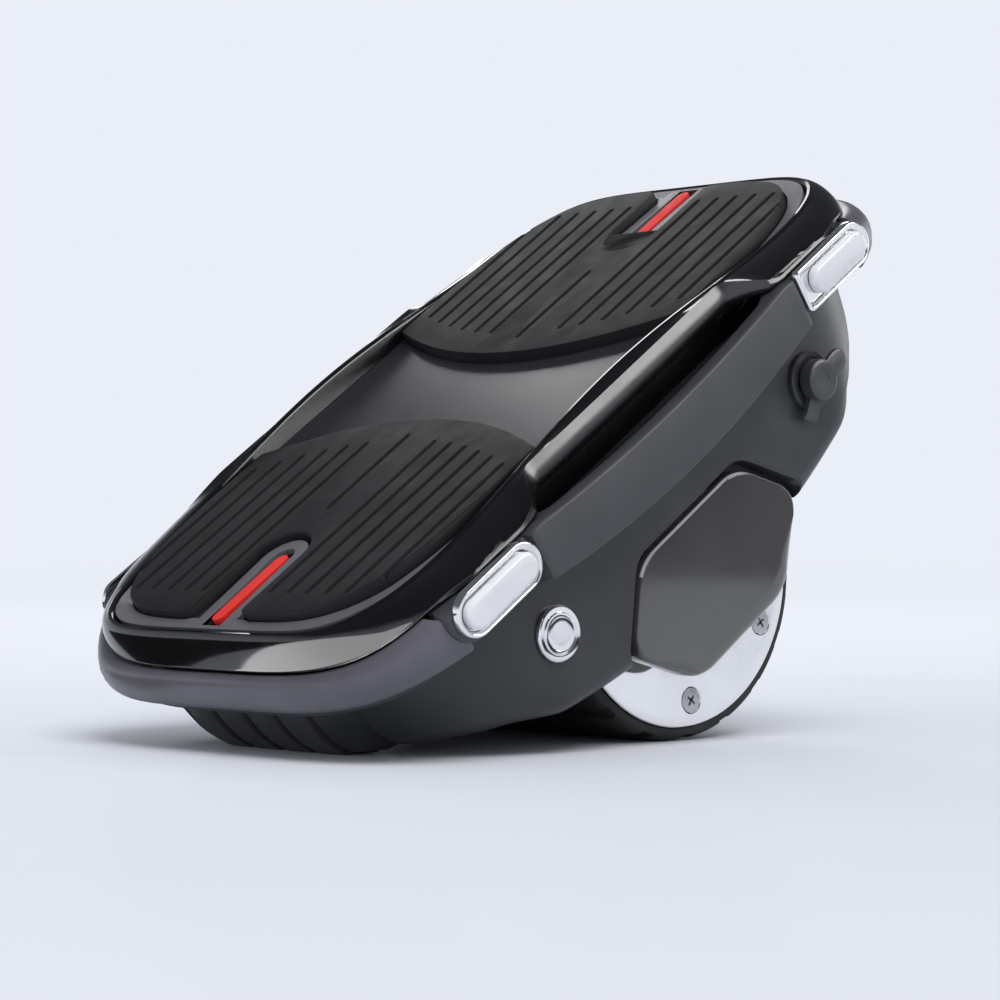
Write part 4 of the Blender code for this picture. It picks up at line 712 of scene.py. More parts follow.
def diffuser(end, sign):
    steps = 160
    sections = []
    for i in range(steps + 1):
        turn = -1 + 2 * i / steps
        reach = abs(turn) ** 0.72
        section = []
        for length, width, level, rise, power in DIFFUSER_PROFILE:
            tip_x = DIFFUSER_TIP_X + tip_offset(level, rise)
            tip_y = width * fullness(tip_x / length, power)
            angle = atan2(tip_y, tip_x) * reach
            ray = abs(cos(angle) / length) ** power + abs(sin(angle) / width) ** power
            ray **= -1 / power
            x = ray * cos(angle)
            y = ray * sin(angle) * (1 if turn > 0 else -1)
            top = band_height(x) - GASKET - GAP
            if level is None:
                z = top + rise
            else:
                z = min(level + (band_height(x) - BAND_END_HEIGHT) * 0.7 * (level > 51), top - 0.8)
            section.append((sign * x, y, z))
        sections.append(section)
    add_piece(f"{end}_light_diffuser", layered(sections), "smoke_lens", [f"{end}_diffuser"], sharp=60)


# Lower shell
SHELL_SIDE = 77
SHELL_STRAIGHT = 75
SHELL_END_POWER = 2.4
SHELL_SHOULDER = 49
SHELL_LEDGE_LENGTH = 139.5
SHELL_LEDGE_WIDTH = 89.5
SHELL_LEDGE_FULL_X = 118
RAIL_END_X = 110.5
BELLY_LOW = -6.5
BELLY_RISE = 13.5
BELLY_REACH = 90
# Down the shell: half length, draw, height at the sides and at the ends, and if it follows the belly
SHELL_LEVELS = (
    (137, 0, 46, 46, False), (136, 0, 43, 43, False),
    (134.4, 0, 35, 36.5, False), (131.8, 0, 27, 29.5, False),
    (127, 0, 20, 23, False), (119.5, 0, 14.5, 18, False),
    (111, 0, 8, 13.5, True), (107.5, 0.5, 5, 11.8, True),
    (104, 2.1, 2.4, 10.5, True), (100, 5, 0.7, 9.1, True), (96, 8, 0, 8.2, True),
)


def shell_point(length, width, share):
    span = length - SHELL_STRAIGHT
    return SHELL_STRAIGHT + span * fullness(share, SHELL_END_POWER), width * share


def shell_width(x, length, width):
    share = max(0, x - SHELL_STRAIGHT) / (length - SHELL_STRAIGHT)
    return width * fullness(share, SHELL_END_POWER)


def shell_ring(length, width, height):
    """A ring with straight sides and blunt ends, with as many points as a superelliptic one."""
    knee = 0.72
    points = [shell_point(length, width, knee * i / END_STEPS) for i in range(END_STEPS)]
    knee_x = shell_point(length, width, knee)[0]
    along = [knee_x * (1 - i / SIDE_STEPS) for i in range(SIDE_STEPS + 1)]
    points += [(x, shell_width(x, length, width)) for x in along]
    return whole_ring(points, height)


def belly_height(x):
    return BELLY_LOW + BELLY_RISE * (x / BELLY_REACH) ** 2


def shell_levels():
    """The level table, with two levels put in, on a smooth curve, where all four around are alike."""
    for i, row in enumerate(SHELL_LEVELS):
        yield row
        around = SHELL_LEVELS[i - 1:i + 3] if i else ()
        if len(around) < 4 or len({level[4] for level in around}) > 1:
            continue
        for share in (0.33, 0.67):
            cube, square = share**3, share**2
            blend = []
            for p0, p1, p2, p3 in list(zip(*around))[:4]:
                slope_in, slope_out = (p2 - p0) / 2, (p3 - p1) / 2
                blend.append(
                    (2 * cube - 3 * square + 1) * p1
                    + (cube - 2 * square + share) * slope_in
                    + (3 * square - 2 * cube) * p2
                    + (cube - square) * slope_out
                )
            yield (*blend, row[4])


def ledge_width(x):
    if x >= RAIL_END_X:
        return mix(SHELL_SIDE, SHELL_LEDGE_WIDTH, smooth(x, RAIL_END_X, SHELL_LEDGE_FULL_X))
    ledge = fullness(x / SHELL_LEDGE_LENGTH, BAND_POWER)
    return shell_width(x, SHELL_LEDGE_LENGTH, SHELL_SIDE - GAP) / ledge


def lower_shell():
    rings = [
        skirt_ring(FRAME_BOTTOM - GAP),
        skirt_ring(SHELL_SHOULDER + 0.4),
        plan_ring(SHELL_LEDGE_LENGTH, ledge_width, BAND_POWER, always(SHELL_SHOULDER)),
        plan_ring(SHELL_LEDGE_LENGTH - 0.6, ledge_width, BAND_POWER, always(SHELL_SHOULDER - 2.6)),
    ]
    for length, draw, side, end_height, follows in shell_levels():

        def height(x, side=side, end_height=end_height, follows=follows):
            base = belly_height(x) + side if follows else side
            return mix(base, end_height, smooth(x, 78, 100))

        rings.append(shell_ring(length, SHELL_SIDE - draw, height))
    return add_piece("body_moulding", ring_skin(rings), "body_grey", ["lower_shell"], sharp=40)


# Rounded outlines, rods and turned skins
def arc(centre, radius, start, end, steps):
    """Points on an arc, from the start angle to the end angle in degrees."""
    angles = [radians(start + (end - start) * i / steps) for i in range(steps + 1)]
    return [(centre[0] + radius * cos(a), centre[1] + radius * sin(a)) for a in angles]


def neighbours(outline):
    """Each corner of a closed outline as a vector, with the corners before and after it."""
    corners = [Vector(corner) for corner in outline]
    return zip(corners[-1:] + corners, corners, corners[1:] + corners[:1])


def rounded(outline, radius, steps):
    """An outline with each corner replaced by a soft curve that starts a radius away from it."""
    curve = []
    for before, here, after in neighbours(outline):
        start = here + (before - here).normalized() * radius
        end = here + (after - here).normalized() * radius
        for k in range(steps + 1):
            t = k / steps
            curve.append(tuple(start * (1 - t) ** 2 + here * 2 * t * (1 - t) + end * t**2))
    return curve


def circles(profile, centre, steps):
    """Circles round an axis across the shoe, one for each (radius, y) of the profile."""
    last = 360 - 360 / steps
    return [upright(arc(centre, radius, 0, last, steps - 1), y) for radius, y in profile]


def turned(profile, centre=(0, 0), steps=48):
    """A skin turned round an axis across the shoe."""
    return layered(circles(profile, centre, steps))


def hoop(layers):
    """A skin through layers of matching points whose last layer runs on into the first."""
    skin = layered(layers, closed=False)
    skin.verts.ensure_lookup_table()
    count = len(layers[0])
    last = count * (len(layers) - 1)
    for i in range(count):
        j = (i + 1) % count
        skin.faces.new([skin.verts[k] for k in (last + i, last + j, j, i)])
    return skin


def ring_of(profile, centre=(0, 0), steps=144):
    """A turned skin whose profile is a closed loop away from the axis."""
    return hoop(circles(profile, centre, steps))


def spun(points, centre, degrees):
    """Points (x, z) turned about the origin and then moved to a centre."""
    ahead, up = cos(radians(degrees)), sin(radians(degrees))
    return [(centre[0] + x * ahead - z * up, centre[1] + x * up + z * ahead) for x, z in points]


COVER_CORNERS = ((27, 24), (46.5, 1.5), (25, -24), (-25, -24), (-46.5, 1.5), (-27, 24))


def hexagon(grow):
    """(x, z) corners of an axle cover, with each edge moved outwards by the same amount."""
    corners = []
    for before, here, after in neighbours(COVER_CORNERS):
        edge_in = (here - before).normalized()
        edge_out = (after - here).normalized()
        normal_in = Vector((-edge_in.y, edge_in.x))
        normal_out = Vector((-edge_out.y, edge_out.x))
        half = (normal_in + normal_out).normalized()
        corners.append(tuple(here + half * grow / half.dot(normal_in)))
    return corners


# Openings of the lower shell
WELL_RADIUS = 58.5
WELL_SIDE = 61.5
CONTROL_X = 70.8
CONTROL_Z = 29
BUTTON_HOLE_RADIUS = 8.1
PORT_HOLE_RADIUS = 7.3
AXLE_BAY = (21.3, 67.3)
AXLE_BAY_TOP = 56.5
END_BAY = (19.75, 62)
END_BAY_X = 79.25
END_BAY_FLOOR = 16
COVER_BACK = 67.4
COVER_RECESS_RADIUS = 13
COVER_EDGE = (
    (0.6, 0), (0, 0.8), (0, 5.2), (0.12, 6), (0.4, 6.8), (0.8, 7.4), (1.3, 7.85), (1.8, 8),
    (2.6, 8),
)


def trim_shell(shell):
    trim(shell, turned([(WELL_RADIUS, -WELL_SIDE), (WELL_RADIUS, WELL_SIDE)], steps=120))
    trim(shell, bay(BRACKET_BAY, BRACKET_BAY_FLOOR, FRAME_BOTTOM + 1))
    trim(shell, bay(AXLE_BAY, -20, AXLE_BAY_TOP))
    for sign in SIDES.values():
        rim = rounded(hexagon(3), 6, 6)
        lip = rounded(hexagon(4.2), 6, 6)
        steps = ((rim, COVER_BACK - GAP), (rim, 76), (lip, 77.4), (lip, 80))
        trim(shell, layered([upright(shape, sign * y) for shape, y in steps]))
    for sign in ENDS.values():
        trim(shell, bay(END_BAY, END_BAY_FLOOR, FRAME_BOTTOM + 2, sign * END_BAY_X))
    for x, radius in ((-CONTROL_X, BUTTON_HOLE_RADIUS), (CONTROL_X, PORT_HOLE_RADIUS)):
        trim(shell, turned([(radius, -56), (radius, -82)], (x, CONTROL_Z)))


def axle_cover(side, sign):
    """Its edge is crisp above and at the left, and rolls over softly along the bottom."""
    layers = []
    for inset, height in COVER_EDGE:
        crisp = rounded(hexagon(-inset * 0.45), 8, 8)
        soft = rounded(hexagon(-inset * 2.4), 8, 8)
        layer = []
        for (x, z), (soft_x, soft_z) in zip(crisp, soft):
            share = smooth(z, -4, -16)
            layer.append((mix(x, soft_x, share), sign * (COVER_BACK + height), mix(z, soft_z, share)))
        layers.append(layer)
    piece = add_piece(f"{side}_cover", layered(layers), "cover_gloss", [f"{side}_axle_cover"], sharp=24)

    # The upper bevel is painted pale grey: a painted highlight where the light catches the cover's edge.
    def on_upper_bevel(x, y, z):
        return x > -29 and z > 3 and 6.7 < abs(y) - COVER_BACK < 7.9

    repaint(piece, "painted_bevel_highlight", on_upper_bevel)
    ends = (COVER_BACK - 2, 74)
    trim(piece, turned([(COVER_RECESS_RADIUS, sign * y) for y in ends]))


# Side rails
RAIL_FACE = 90
RAIL_BLOCK_FACE = 81.5
RAIL_BACK = 77.3
RAIL_TOP = 64.5
RAIL_TOP_RISE = 5
RAIL_BOTTOM = 43.5
RAIL_BOTTOM_RISE = 8
RAIL_FULL_X = 79
RAIL_GAP = 2.2
PILL_HALF_LENGTH = 19.3
PILL_RADIUS = 7.7
PILL_X = 91.5
PILL_Z = 61.3


def rail_section(reach):
    """(y, z) points round the bar: its face and top are rounded, and its floor runs in to the shell."""
    face = mix(RAIL_FACE, RAIL_BLOCK_FACE, smooth(reach, 71, 74.5))
    rise = (reach / RAIL_FULL_X) ** 2
    top = min(RAIL_TOP + RAIL_TOP_RISE * rise, band_height(reach) - RAIL_GAP)
    bottom = RAIL_BOTTOM + RAIL_BOTTOM_RISE * rise
    inner = mix(face - 5.5, 78.3, smooth(reach, 56, 70))
    floor = max(bottom + 3.5, 50.3)
    points = arc((face - 1.3, top - 1.3), 1.3, 90, 0, 5)
    points += arc((face - 1.1, bottom + 1.1), 1.1, 0, -60, 4)
    points += [(80.5, bottom - 1.6), (RAIL_BACK, bottom - 2.5), (RAIL_BACK, floor - 1.2)]
    points += [(78.2, floor), (inner, floor)]
    points += arc((inner + 1, top - 1), 1, 180, 90, 3)
    return points


def pill_outline(end, sign, grow=0, lower=0, corner=2.2, inner_cut=0):
    """(x, z) outline of a badge; the toe's has a blunt inner end, which its insert stops short of."""
    half = PILL_HALF_LENGTH + grow
    radius = PILL_RADIUS + grow
    points = arc((half - radius, 0), radius, -90, 90, 18)
    if end == "toe":
        inner = -half + inner_cut + corner
        points += arc((inner, radius - corner), corner, 90, 180, 9)
        points += arc((inner, -radius + corner), corner, 180, 270, 9)
    else:
        points += arc((-half + radius, 0), radius, 90, 270, 19)
    return [(sign * (PILL_X + x), PILL_Z + z - lower) for x, z in points]


def rail(side, sign):
    stations = [RAIL_END_X - 2.6 * i for i in range(14)]
    stations += [75.5, 74.5, 73.8, 73, 72.2, 71.4, 70.6, 69] + [66 - 3 * i for i in range(22)]
    along = [-x for x in stations] + [0] + stations[::-1]
    sections = [[(x, sign * y, z) for y, z in rail_section(abs(x))] for x in along]
    add_piece(f"{side}_side_rail", layered(sections), "matte_grey", [f"{side}_rail"], sharp=40)
    for end, end_sign in ENDS.items():
        layers = []
        for inset, y in ((0, RAIL_BLOCK_FACE + 0.1), (0, 86.8), (0.35, 87.6), (1.1, 88)):
            outline = pill_outline(end, end_sign, 1.5 - inset)
            layers.append([(x, sign * y, min(z, band_height(abs(x)) - RAIL_GAP)) for x, z in outline])
        add_piece(f"{end}_{side}_badge_block", layered(layers), "matte_grey", sharp=40)


# Badges
# Each row: growth of the outline, distance from the middle and drop
BEZEL_PROFILE = (
    (0, 88.3, 0), (0, 90, 0), (-0.15, 90.5, 0), (-0.5, 90.8, 0),
    (-0.9, 90.85, 0.05), (-1.5, 90.5, 0.2), (-2.1, 89.8, 0.35), (-2.5, 89.2, 0.45),
    (-2.6, 88.9, 0.5),
)
BADGE_PROFILE = (
    (-2.9, 89.2, 0.5), (-2.9, 91.1, 0.5), (-3.05, 91.5, 0.5), (-3.5, 91.85, 0.5),
    (-4.2, 92, 0.5),
)


def badge(end, side, end_sign, side_sign):
    for name, profile, slot, node, blunt in (
        ("bezel", BEZEL_PROFILE, "bright_chrome", "badge_bezel", True),
        ("insert", BADGE_PROFILE, "badge_white", "badge", False),
    ):
        layers = []
        for grow, y, lower in profile:
            inner_end = (2.2, 0) if blunt else (7.6 + grow, 3)
            outline = pill_outline(end, end_sign, grow, lower, *inner_end)
            layers.append(upright(outline, side_sign * y))
        add_piece(f"{end}_{side}_{name}", layered(layers), slot, [f"{end}_{side}_{node}"], sharp=50)


# Feet
FOOT_HALF_WIDTH = 45
FOOT_FACE = ((136.4, 45.2), (136.1, 41.8), (135.4, 38), (134.6, 34.6), (133.4, 31), (131.8, 27.8))
FOOT_UNDER = ((118.6, 16.6), (116.5, 16.4))
FOOT_BACK = ((112, 18.6), (117, 25), (121, 33), (124, 45.2))
FOOT_RIBS = 6
FOOT_SWEEP = 9.5
FOOT_SWEEP_WIDTH = 19
FOOT_LIFT = 4
FOOT_GROOVE = ((-1.8, 0), (-1.55, 0.25), (-1.3, 0.9), (-1, 1.7), (-0.6, 2.3), (0, 2.6))


def foot_stations():
    """(y, depth) across the foot: deep where a groove runs, and nothing on the ribs."""
    pitch = (2 * FOOT_HALF_WIDTH - 2 * FOOT_GROOVE[0][0]) / FOOT_RIBS
    stations = [(-FOOT_HALF_WIDTH, 0.9), (-FOOT_HALF_WIDTH + 0.5, 0.3), (-FOOT_HALF_WIDTH + 1.3, 0)]
    stations += [(-FOOT_HALF_WIDTH + d, 0) for d in (4, 7, 9.5)]
    for rib in range(1, FOOT_RIBS):
        middle = -FOOT_HALF_WIDTH + rib * pitch - 1.8
        stations += [(middle + y, depth) for y, depth in FOOT_GROOVE]
        stations += [(middle - y, depth) for y, depth in FOOT_GROOVE[-2::-1]]
        stations.append((middle + pitch / 2, 0))
    inside = [station for station in stations if station[0] < FOOT_HALF_WIDTH - 11]
    return inside + [(-y, depth) for y, depth in stations[5::-1]]


def foot(end, sign):
    along = Vector((SHOE[0][0], -SHOE[0][2])).normalized() * 4
    contact = Vector((126.5, 22))
    flat = [contact + along, contact + along * 0.5, contact - along * 0.5, contact - along]
    face = [Vector(point) for point in FOOT_FACE] + flat + [Vector(point) for point in FOOT_UNDER]
    middle = Vector((105, 60))
    sections = []
    for y, depth in foot_stations():
        corner = (max(0, abs(y) - FOOT_HALF_WIDTH + FOOT_SWEEP_WIDTH) / FOOT_SWEEP_WIDTH) ** 2
        section = []
        for i, point in enumerate(face):
            sunk = depth * (0 < i < len(face) - 1)
            grooved = point + (middle - point).normalized() * sunk
            low = smooth(grooved.y, 45.2, 24)
            x = sign * (grooved.x - FOOT_SWEEP * corner)
            section.append((x, y, grooved.y + FOOT_LIFT * corner * low))
        sections.append(section + [(sign * x, y, z) for x, z in FOOT_BACK])
    piece = add_piece(f"{end}_ribbed_foot", layered(sections), "body_grey", [f"{end}_foot"], sharp=35)
    grooves = [y for y, depth in foot_stations() if depth == FOOT_GROOVE[-1][1]]

    # The grooves are painted near black, darker than the ribs: painted shade in the grooves.
    def in_shaded_groove(x, y, z):
        return min(abs(y - groove) for groove in grooves) < 1.3

    repaint(piece, "satin_black_and_groove_shade", in_shaded_groove)
    wall = [(146.5, 45.5), (146.5, 0), (111.7, 0), (111.7, 18.6), (116.7, 25), (120.7, 33), (123.7, 45.5)]
    half_width = FOOT_HALF_WIDTH + GAP
    return layered([[(sign * x, y, z) for x, z in wall] for y in (-half_width, half_width)])


# Wheel
TYRE_PROFILE = (
    (50.8, 56.5), (52.4, 56.5), (53.2, 56.3), (54, 55.7), (54.5, 54.8), (54.8, 53.4),
    (55, 51.5), (55, 40), (55, 29), (55, 28), (55, 20.6), (54.6, 20.1),
    (53.6, 19.7), (53.4, 18), (53.6, 16.3), (54.6, 15.9), (55, 15.4), (55, 6),
)
NOTCH_ANGLES = (-3.4, -3, -2.6, -1.3, 0, 1.3, 2.6, 3, 3.4, 5)


def notch_depth(degrees, phase):
    """How far the tread lies below its blocks; a notch falls at each pitch."""
    pitch = 360 / TREAD_BLOCKS
    away = abs((degrees - phase + pitch / 2) % pitch - pitch / 2)
    return TREAD_DEPTH * (1 - smooth(away, 2.5, 3.2))


def tyre():
    pitch = 180 / TREAD_BLOCKS
    sections = []
    for half_pitch in range(2 * TREAD_BLOCKS):
        for offset in NOTCH_ANGLES:
            degrees = half_pitch * pitch + offset
            turn = radians(degrees)
            section = []
            for side, profile in ((-1, TYRE_PROFILE), (1, TYRE_PROFILE[::-1])):
                depth = notch_depth(degrees, pitch * (side > 0))
                for radius, y in profile:
                    outside = y > TREAD_START and radius > TYRE_INNER_RADIUS
                    lowered = min(radius, TYRE_RADIUS - depth) if outside else radius
                    section.append((lowered * cos(turn), side * y, lowered * sin(turn)))
            sections.append(section)
    add_piece("tread_ring", hoop(sections), "tyre_rubber", ["tyre"], "wheel", sharp=30)


def hub_disc():
    profile = (
        (14.3, -57), (14.3, -46.5), (18, -46.5), (18, -54.5), (50.5, -54.5),
        (50.5, -57.2), (50.2, -57.6), (49.6, -57.75), (46, -57.7), (38, -57.67),
        (30, -57.64),
    )
    disc = add_piece("hub_disc", ring_of(profile), "bright_chrome", ["near_hub_cover"], "wheel", sharp=25)
    for index in range(6):
        angle = HUB_SCREW_FIRST_ANGLE + index * pi / 3
        centre = (HUB_SCREW_CIRCLE * cos(angle), HUB_SCREW_CIRCLE * sin(angle))
        seat = [(4.6, -60), (4.6, -57.6), (2.3, -55.3), (2.3, -53)]
        trim(disc, turned(seat, centre, 32))
        head = [(3.7, -57.75), (4.05, -57.7), (4.15, -57.5), (1.9, -55.5)]
        number = index + 1
        skin = turned(head, centre, 32)
        screw = add_piece(f"cross_screw_{number}", skin, "steel", [f"hub_screw_{number}"], "wheel")
        for degrees in (40 * index, 40 * index + 90):
            layers = []
            for length, width, y in ((2.3, 0.45, -58.2), (0.9, 0.3, -56.1)):
                corners = [(-length, -width), (length, -width), (length, width), (-length, width)]
                layers.append(upright(spun(corners, centre, degrees), y))
            trim(screw, layered(layers))


# Power button and charge port
def power_button():
    centre = (-CONTROL_X, CONTROL_Z)
    bezel = (
        (5.8, -69), (5.8, -78.9), (5.95, -79.1), (6.5, -79.15), (6.7, -79), (6.8, -78.7),
        (7, -78.7), (8.3, -78.9), (8.8, -78.5), (9, -78), (9, -77.3), (7.8, -77.1),
        (7.8, -55), (5.8, -55),
    )
    face = ((5.5, -71.3), (5.5, -79.1), (5.35, -79.35), (5, -79.4), (3.5, -79.37), (1.5, -79.35))
    add_piece("button_ring", ring_of(bezel, centre, 64), "bright_chrome", ["button_bezel"])
    add_piece("button_face", turned(face, centre, 64), "bright_chrome", ["power_button"], "button")


def charge_port():
    centre = (CONTROL_X, CONTROL_Z)
    socket = (
        (5.2, -65), (5.2, -77.8), (6.4, -78.3), (7.4, -78.3), (8, -78.9), (9.3, -79),
        (9.8, -78.6), (10, -77.9), (10, -77.3), (7, -77.1), (7, -57), (4.2, -57),
        (4.2, -65),
    )
    add_piece("port_ring", ring_of(socket, centre, 64), "body_grey", ["charge_socket"])
    pin = ((1.1, -58), (1.1, -73.2), (0.8, -73.5))
    add_piece("port_pin", turned(pin, centre, 24), "steel")
    floor = ((4, -57.4), (4, -58.4))
    add_piece("port_floor", turned(floor, centre, 32), "tyre_rubber")


def dust_cap():
    centre = (CONTROL_X, CONTROL_Z)
    disc = (
        (2.4, -75.8), (2.85, -76.2), (3.85, -78.6), (3.9, -79.3), (6.6, -79.3), (7, -79.7),
        (7, -83.3), (6.8, -83.9), (6.2, -84.25), (5, -84.3), (2, -84.1),
    )
    cap = add_piece("port_cap", turned(disc, centre, 64), "cap_rubber", ["dust_cap"], "port_cap")
    tab = [(3, -3.6), (9, -4)] + arc((10.4, 0), 3.6, -75, 75, 12) + [(9, 4), (3, 3.6)]
    layers = []
    for inset, y in ((0.4, -82.2), (0, -82.6), (0, -83.8), (0.15, -84.1), (0.5, -84.28)):
        drawn = [(x - inset, z * (1 - inset / 4)) for x, z in tab]
        layers.append(upright(spun(drawn, centre, 8), y))
    trim(cap, layered(layers), operation="UNION")
    layers = []
    strap = ((4, -81.6, -79.4), (8, -81.6, -79.4), (11.5, -81, -79.3), (13.9, -79.9, -79.3))
    for out, low, high in strap:
        (x0, z0), (x1, z1) = spun([(-out, -2.9), (-out, 2.9)], centre, 45)
        layers.append([(x0, low, z0), (x1, low, z1), (x1, high, z1), (x0, high, z0)])
    trim(cap, layered(layers), operation="UNION")


deck_frame()
trim_plate()
shell = lower_shell()
trim_shell(shell)
for end, end_sign in ENDS.items():
    pad(end, end_sign)
    marker_border(end, end_sign)
    marker(end, end_sign)
    painted_slot_shade(end, end_sign)
    diffuser(end, end_sign)
    trim(shell, foot(end, end_sign))
    for side, side_sign in SIDES.items():
        badge(end, side, end_sign, side_sign)
for side, side_sign in SIDES.items():
    rail(side, side_sign)
    axle_cover(side, side_sign)
tyre()
hub_disc()
power_button()
charge_port()
dust_cap()

# Studio
BACKDROP_COLOUR = (0.823, 0.855, 0.925)
CEILING_COLOUR = (0.10, 0.105, 0.12)
CEILING_START = 0.04
CEILING_FULL = 0.4
FILL_COLOUR = (0.93, 0.95, 1.0, 1)
FILL_STRENGTH = 0.5
SUN_STRENGTH = 1.9
SOFTBOX_TARGET = (0, 0, 0.1)
FLOOR_HALF_SIZE = 60.0
FLOOR_COLOUR = (0.7, 0.725, 0.78)
FLOOR_NEAR = 0.4
FLOOR_FAR = 4.5
FLOOR_CARD_PLACE = (-0.424, -0.076, 0.003)
FLOOR_CARD_TURN = radians(-28.7)
FLOOR_CARD_SIZE = (0.58, 0.45)
FLOOR_CARD_POWER = 3.2
LYING_BOARD = ((-0.6, 0.06, 0.002), (-0.13, 0.06, 0.002), (-0.13, 0.6, 0.002), (-0.6, 0.6, 0.002))
BOARD_AZIMUTH = radians(-46.5)
BOARD_DISTANCE = 2.75
BOARD_HALF_WIDTH = 0.9
BOARD_HEIGHT = 0.25
BOARD_COLOUR = (0.02, 0.02, 0.022)


def area_lamp(name, place, turn, size, power):
    """A rectangular lamp."""
    lamp = bpy.data.lights.new(name, "AREA")
    lamp.shape = "RECTANGLE"
    lamp.size, lamp.size_y = size
    lamp.energy = power
    holder = new_object(name, lamp)
    holder.location = place
    holder.rotation_euler = turn
    return holder


def softbox(name, place, size, power):
    """An area lamp that faces the shoe."""
    turn = (Vector(SOFTBOX_TARGET) - Vector(place)).to_track_quat("-Z", "Y").to_euler()
    return area_lamp(name, place, turn, size, power)


def blended(tree, share, first, second):
    """A shader that goes from the first to the second by a share."""
    return add_node(tree, "MixShader", "Shader", {"Fac": share, 1: first, 2: second})


def studio_world():
    """Pale for the camera; in gloss, pale at the horizon and dark above; a soft fill for the rest."""
    world = bpy.data.worlds.new("studio")
    bpy.context.scene.world = world
    world.use_nodes = True
    tree = world.node_tree
    fill = tree.nodes["Background"]
    feed(tree, fill, {"Color": FILL_COLOUR, "Strength": FILL_STRENGTH})
    rise = add_node(tree, "SeparateXYZ", "Z", {"Vector": add_node(tree, "TexCoord", "Generated")})
    height = mapped(tree, rise, CEILING_START, CEILING_FULL, interpolation_type="SMOOTHSTEP")
    pale = add_node(tree, "Background", "Background", {"Color": (*BACKDROP_COLOUR, 1)})
    dark = add_node(tree, "Background", "Background", {"Color": (*CEILING_COLOUR, 1)})
    gloss = blended(tree, height, pale, dark)
    shader = fill.outputs["Background"]
    for ray, seen in (("Glossy", gloss), ("Transmission", pale), ("Camera", pale)):
        shader = blended(tree, add_node(tree, "LightPath", f"Is {ray} Ray"), shader, seen)
    feed(tree, tree.nodes["World Output"], {"Surface": shader})


def fade_to_backdrop(tree, shader):
    """The camera sees the floor turn into the backdrop far from the shoe, so no horizon line shows."""
    place = add_node(tree, "TexCoord", "Object")
    length = add_node(tree, "VectorMath", "Value", {0: place}, operation="LENGTH")
    nearness = add_node(tree, "Math", "Value", {0: 1.0, 1: length}, operation="DIVIDE")
    away = mapped(tree, nearness, 1 / FLOOR_NEAR, 1 / FLOOR_FAR)
    in_camera = add_node(tree, "LightPath", "Is Camera Ray")
    share = add_node(tree, "Math", "Value", {0: away, 1: in_camera}, operation="MULTIPLY")
    backdrop = add_node(tree, "Emission", "Emission", {"Color": (*BACKDROP_COLOUR, 1)})
    seen = blended(tree, share, shader.outputs["BSDF"], backdrop)
    feed(tree, tree.nodes["Material Output"], {"Surface": seen})


def standing_board():
    """Corners of the board that stands far ahead of the near side, above the pale floor."""
    away = Vector((cos(BOARD_AZIMUTH), sin(BOARD_AZIMUTH), 0))
    across = away.cross(Vector((0, 0, 1)))
    corners = []
    for side, height in ((-1, 0), (1, 0), (1, BOARD_HEIGHT), (-1, BOARD_HEIGHT)):
        corners.append(away * BOARD_DISTANCE + across * side * BOARD_HALF_WIDTH + Vector((0, 0, height)))
    return corners


def dark_board(name, corners):
    """A dark board that shows only in gloss."""
    skin = bmesh.new()
    skin.faces.new([skin.verts.new(corner) for corner in corners])
    board = new_object(name, mesh_of(name, skin))
    board.data.materials.append(new_material(name, BOARD_COLOUR, 0.8)[0])
    board.visible_camera = False
    board.visible_diffuse = False
    board.visible_shadow = False


def floor_card():
    """A bright card lying beside the heel end, which shows only in the deck frame's gloss."""
    turn = (pi, 0, FLOOR_CARD_TURN)
    holder = area_lamp("floor_card", FLOOR_CARD_PLACE, turn, FLOOR_CARD_SIZE, FLOOR_CARD_POWER)
    holder.visible_camera = False
    holder.visible_diffuse = False
    lit = bpy.data.collections.new("lit_by_floor_card")
    lit.objects.link(bpy.data.objects["deck_frame_moulding"])
    holder.light_linking.receiver_collection = lit


def studio_floor():
    skin = bmesh.new()
    bmesh.ops.create_grid(skin, x_segments=1, y_segments=1, size=FLOOR_HALF_SIZE)
    floor = new_object("floor", mesh_of("floor", skin))
    material, tree, shader = new_material("floor", FLOOR_COLOUR, 0.6)
    fade_to_backdrop(tree, shader)
    coat = {"Coat Weight": 0.05, "Coat Roughness": 0.12, "Coat IOR": 1.3}
    feed(tree, shader, {"Specular IOR Level": 0.0, **coat})
    floor.data.materials.append(material)


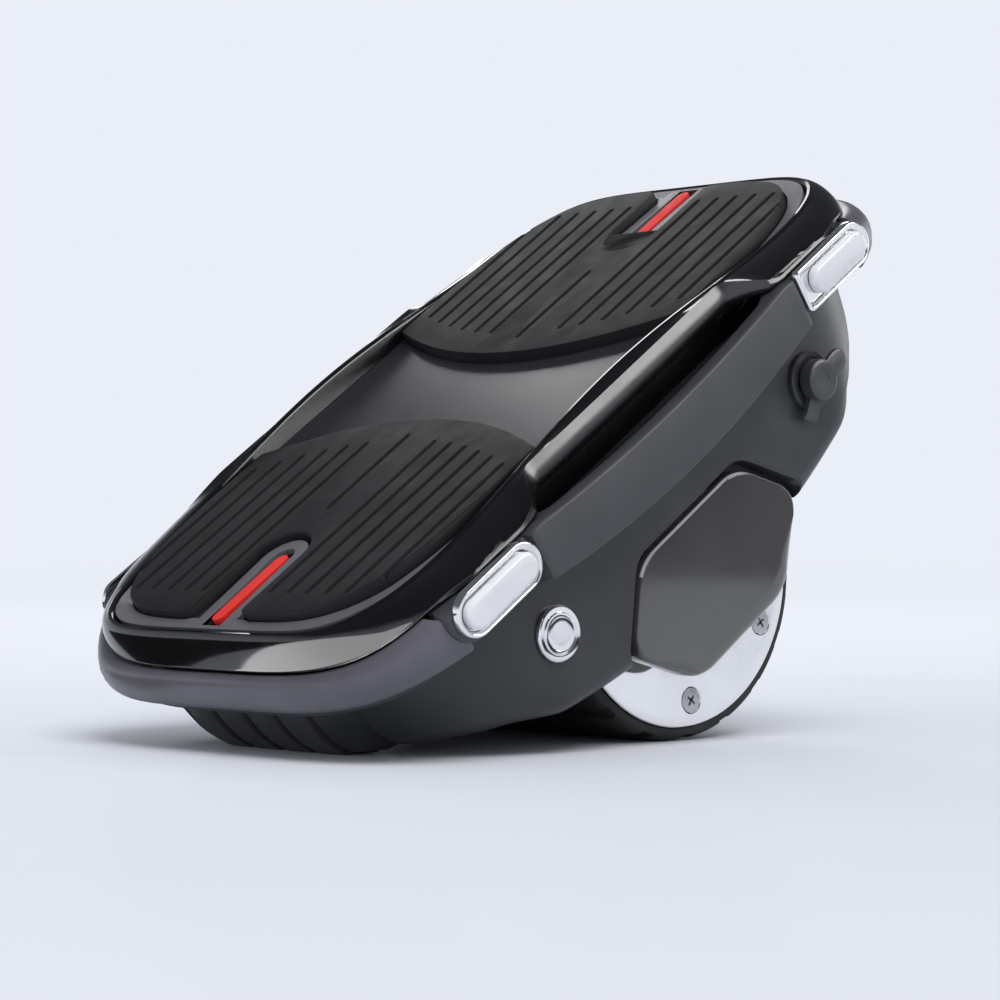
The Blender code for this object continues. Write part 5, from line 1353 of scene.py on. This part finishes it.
def key_light():
    sun = bpy.data.lights.new("key_light", "SUN")
    sun.energy = SUN_STRENGTH
    sun.angle = radians(40)
    holder = new_object("key_light", sun)
    holder.rotation_euler = Vector((0.15, 0.5, -0.86)).to_track_quat("-Z", "Y").to_euler()
    holder.visible_glossy = False


def studio():
    studio_world()
    dark_board("standing_board", standing_board())
    dark_board("lying_board", LYING_BOARD)
    floor_card()
    studio_floor()
    softbox("back_softbox", (0.93, 1.24, 0.98), (0.8, 0.8), 6)
    softbox("left_softbox", (-1.4, -0.4, 0.5), (0.9, 0.7), 2).visible_glossy = False
    softbox("right_card", (0.8, -1.15, 0.86), (1.0, 0.6), 11).visible_diffuse = False
    softbox("side_card", (1.55, -0.1, 0.5), (0.9, 0.5), 2).visible_diffuse = False
    key_light()


# Camera, as the photograph's: nearly level, ahead of the near heel corner
CAMERA_AZIMUTH = radians(-43.5)
CAMERA_ELEVATION = radians(1.0)
CAMERA_DISTANCE = 1.0308
CAMERA_LENS = 107.96
CAMERA_SENSOR = 36.0
PHOTO_SIZE = 1000
AXLE_PIXEL = (560.1, 571.9)


def camera():
    focal = CAMERA_LENS / CAMERA_SENSOR * PHOTO_SIZE
    level = cos(CAMERA_ELEVATION)
    back = Vector(
        (sin(CAMERA_AZIMUTH) * level, -cos(CAMERA_AZIMUTH) * level, sin(CAMERA_ELEVATION))
    )
    right = Vector((cos(CAMERA_AZIMUTH), sin(CAMERA_AZIMUTH), 0))
    up = back.cross(right)
    across = AXLE_PIXEL[0] - PHOTO_SIZE / 2
    down = AXLE_PIXEL[1] - PHOTO_SIZE / 2
    place = SHOE.translation + back * CAMERA_DISTANCE
    aim = (back * focal + right * across - up * down).normalized()
    side = (right - aim * right.dot(aim)).normalized()
    top = aim.cross(side)
    data = bpy.data.cameras.new("photo_camera")
    data.lens = CAMERA_LENS
    data.sensor_width = CAMERA_SENSOR
    data.clip_start = 0.01
    data.clip_end = 200
    holder = new_object("photo_camera", data)
    holder.matrix_world = Matrix.Translation(place) @ Matrix((side, top, aim)).transposed().to_4x4()
    bpy.context.scene.camera = holder


bpy.context.scene.view_settings.view_transform = "Standard"
studio()
camera()
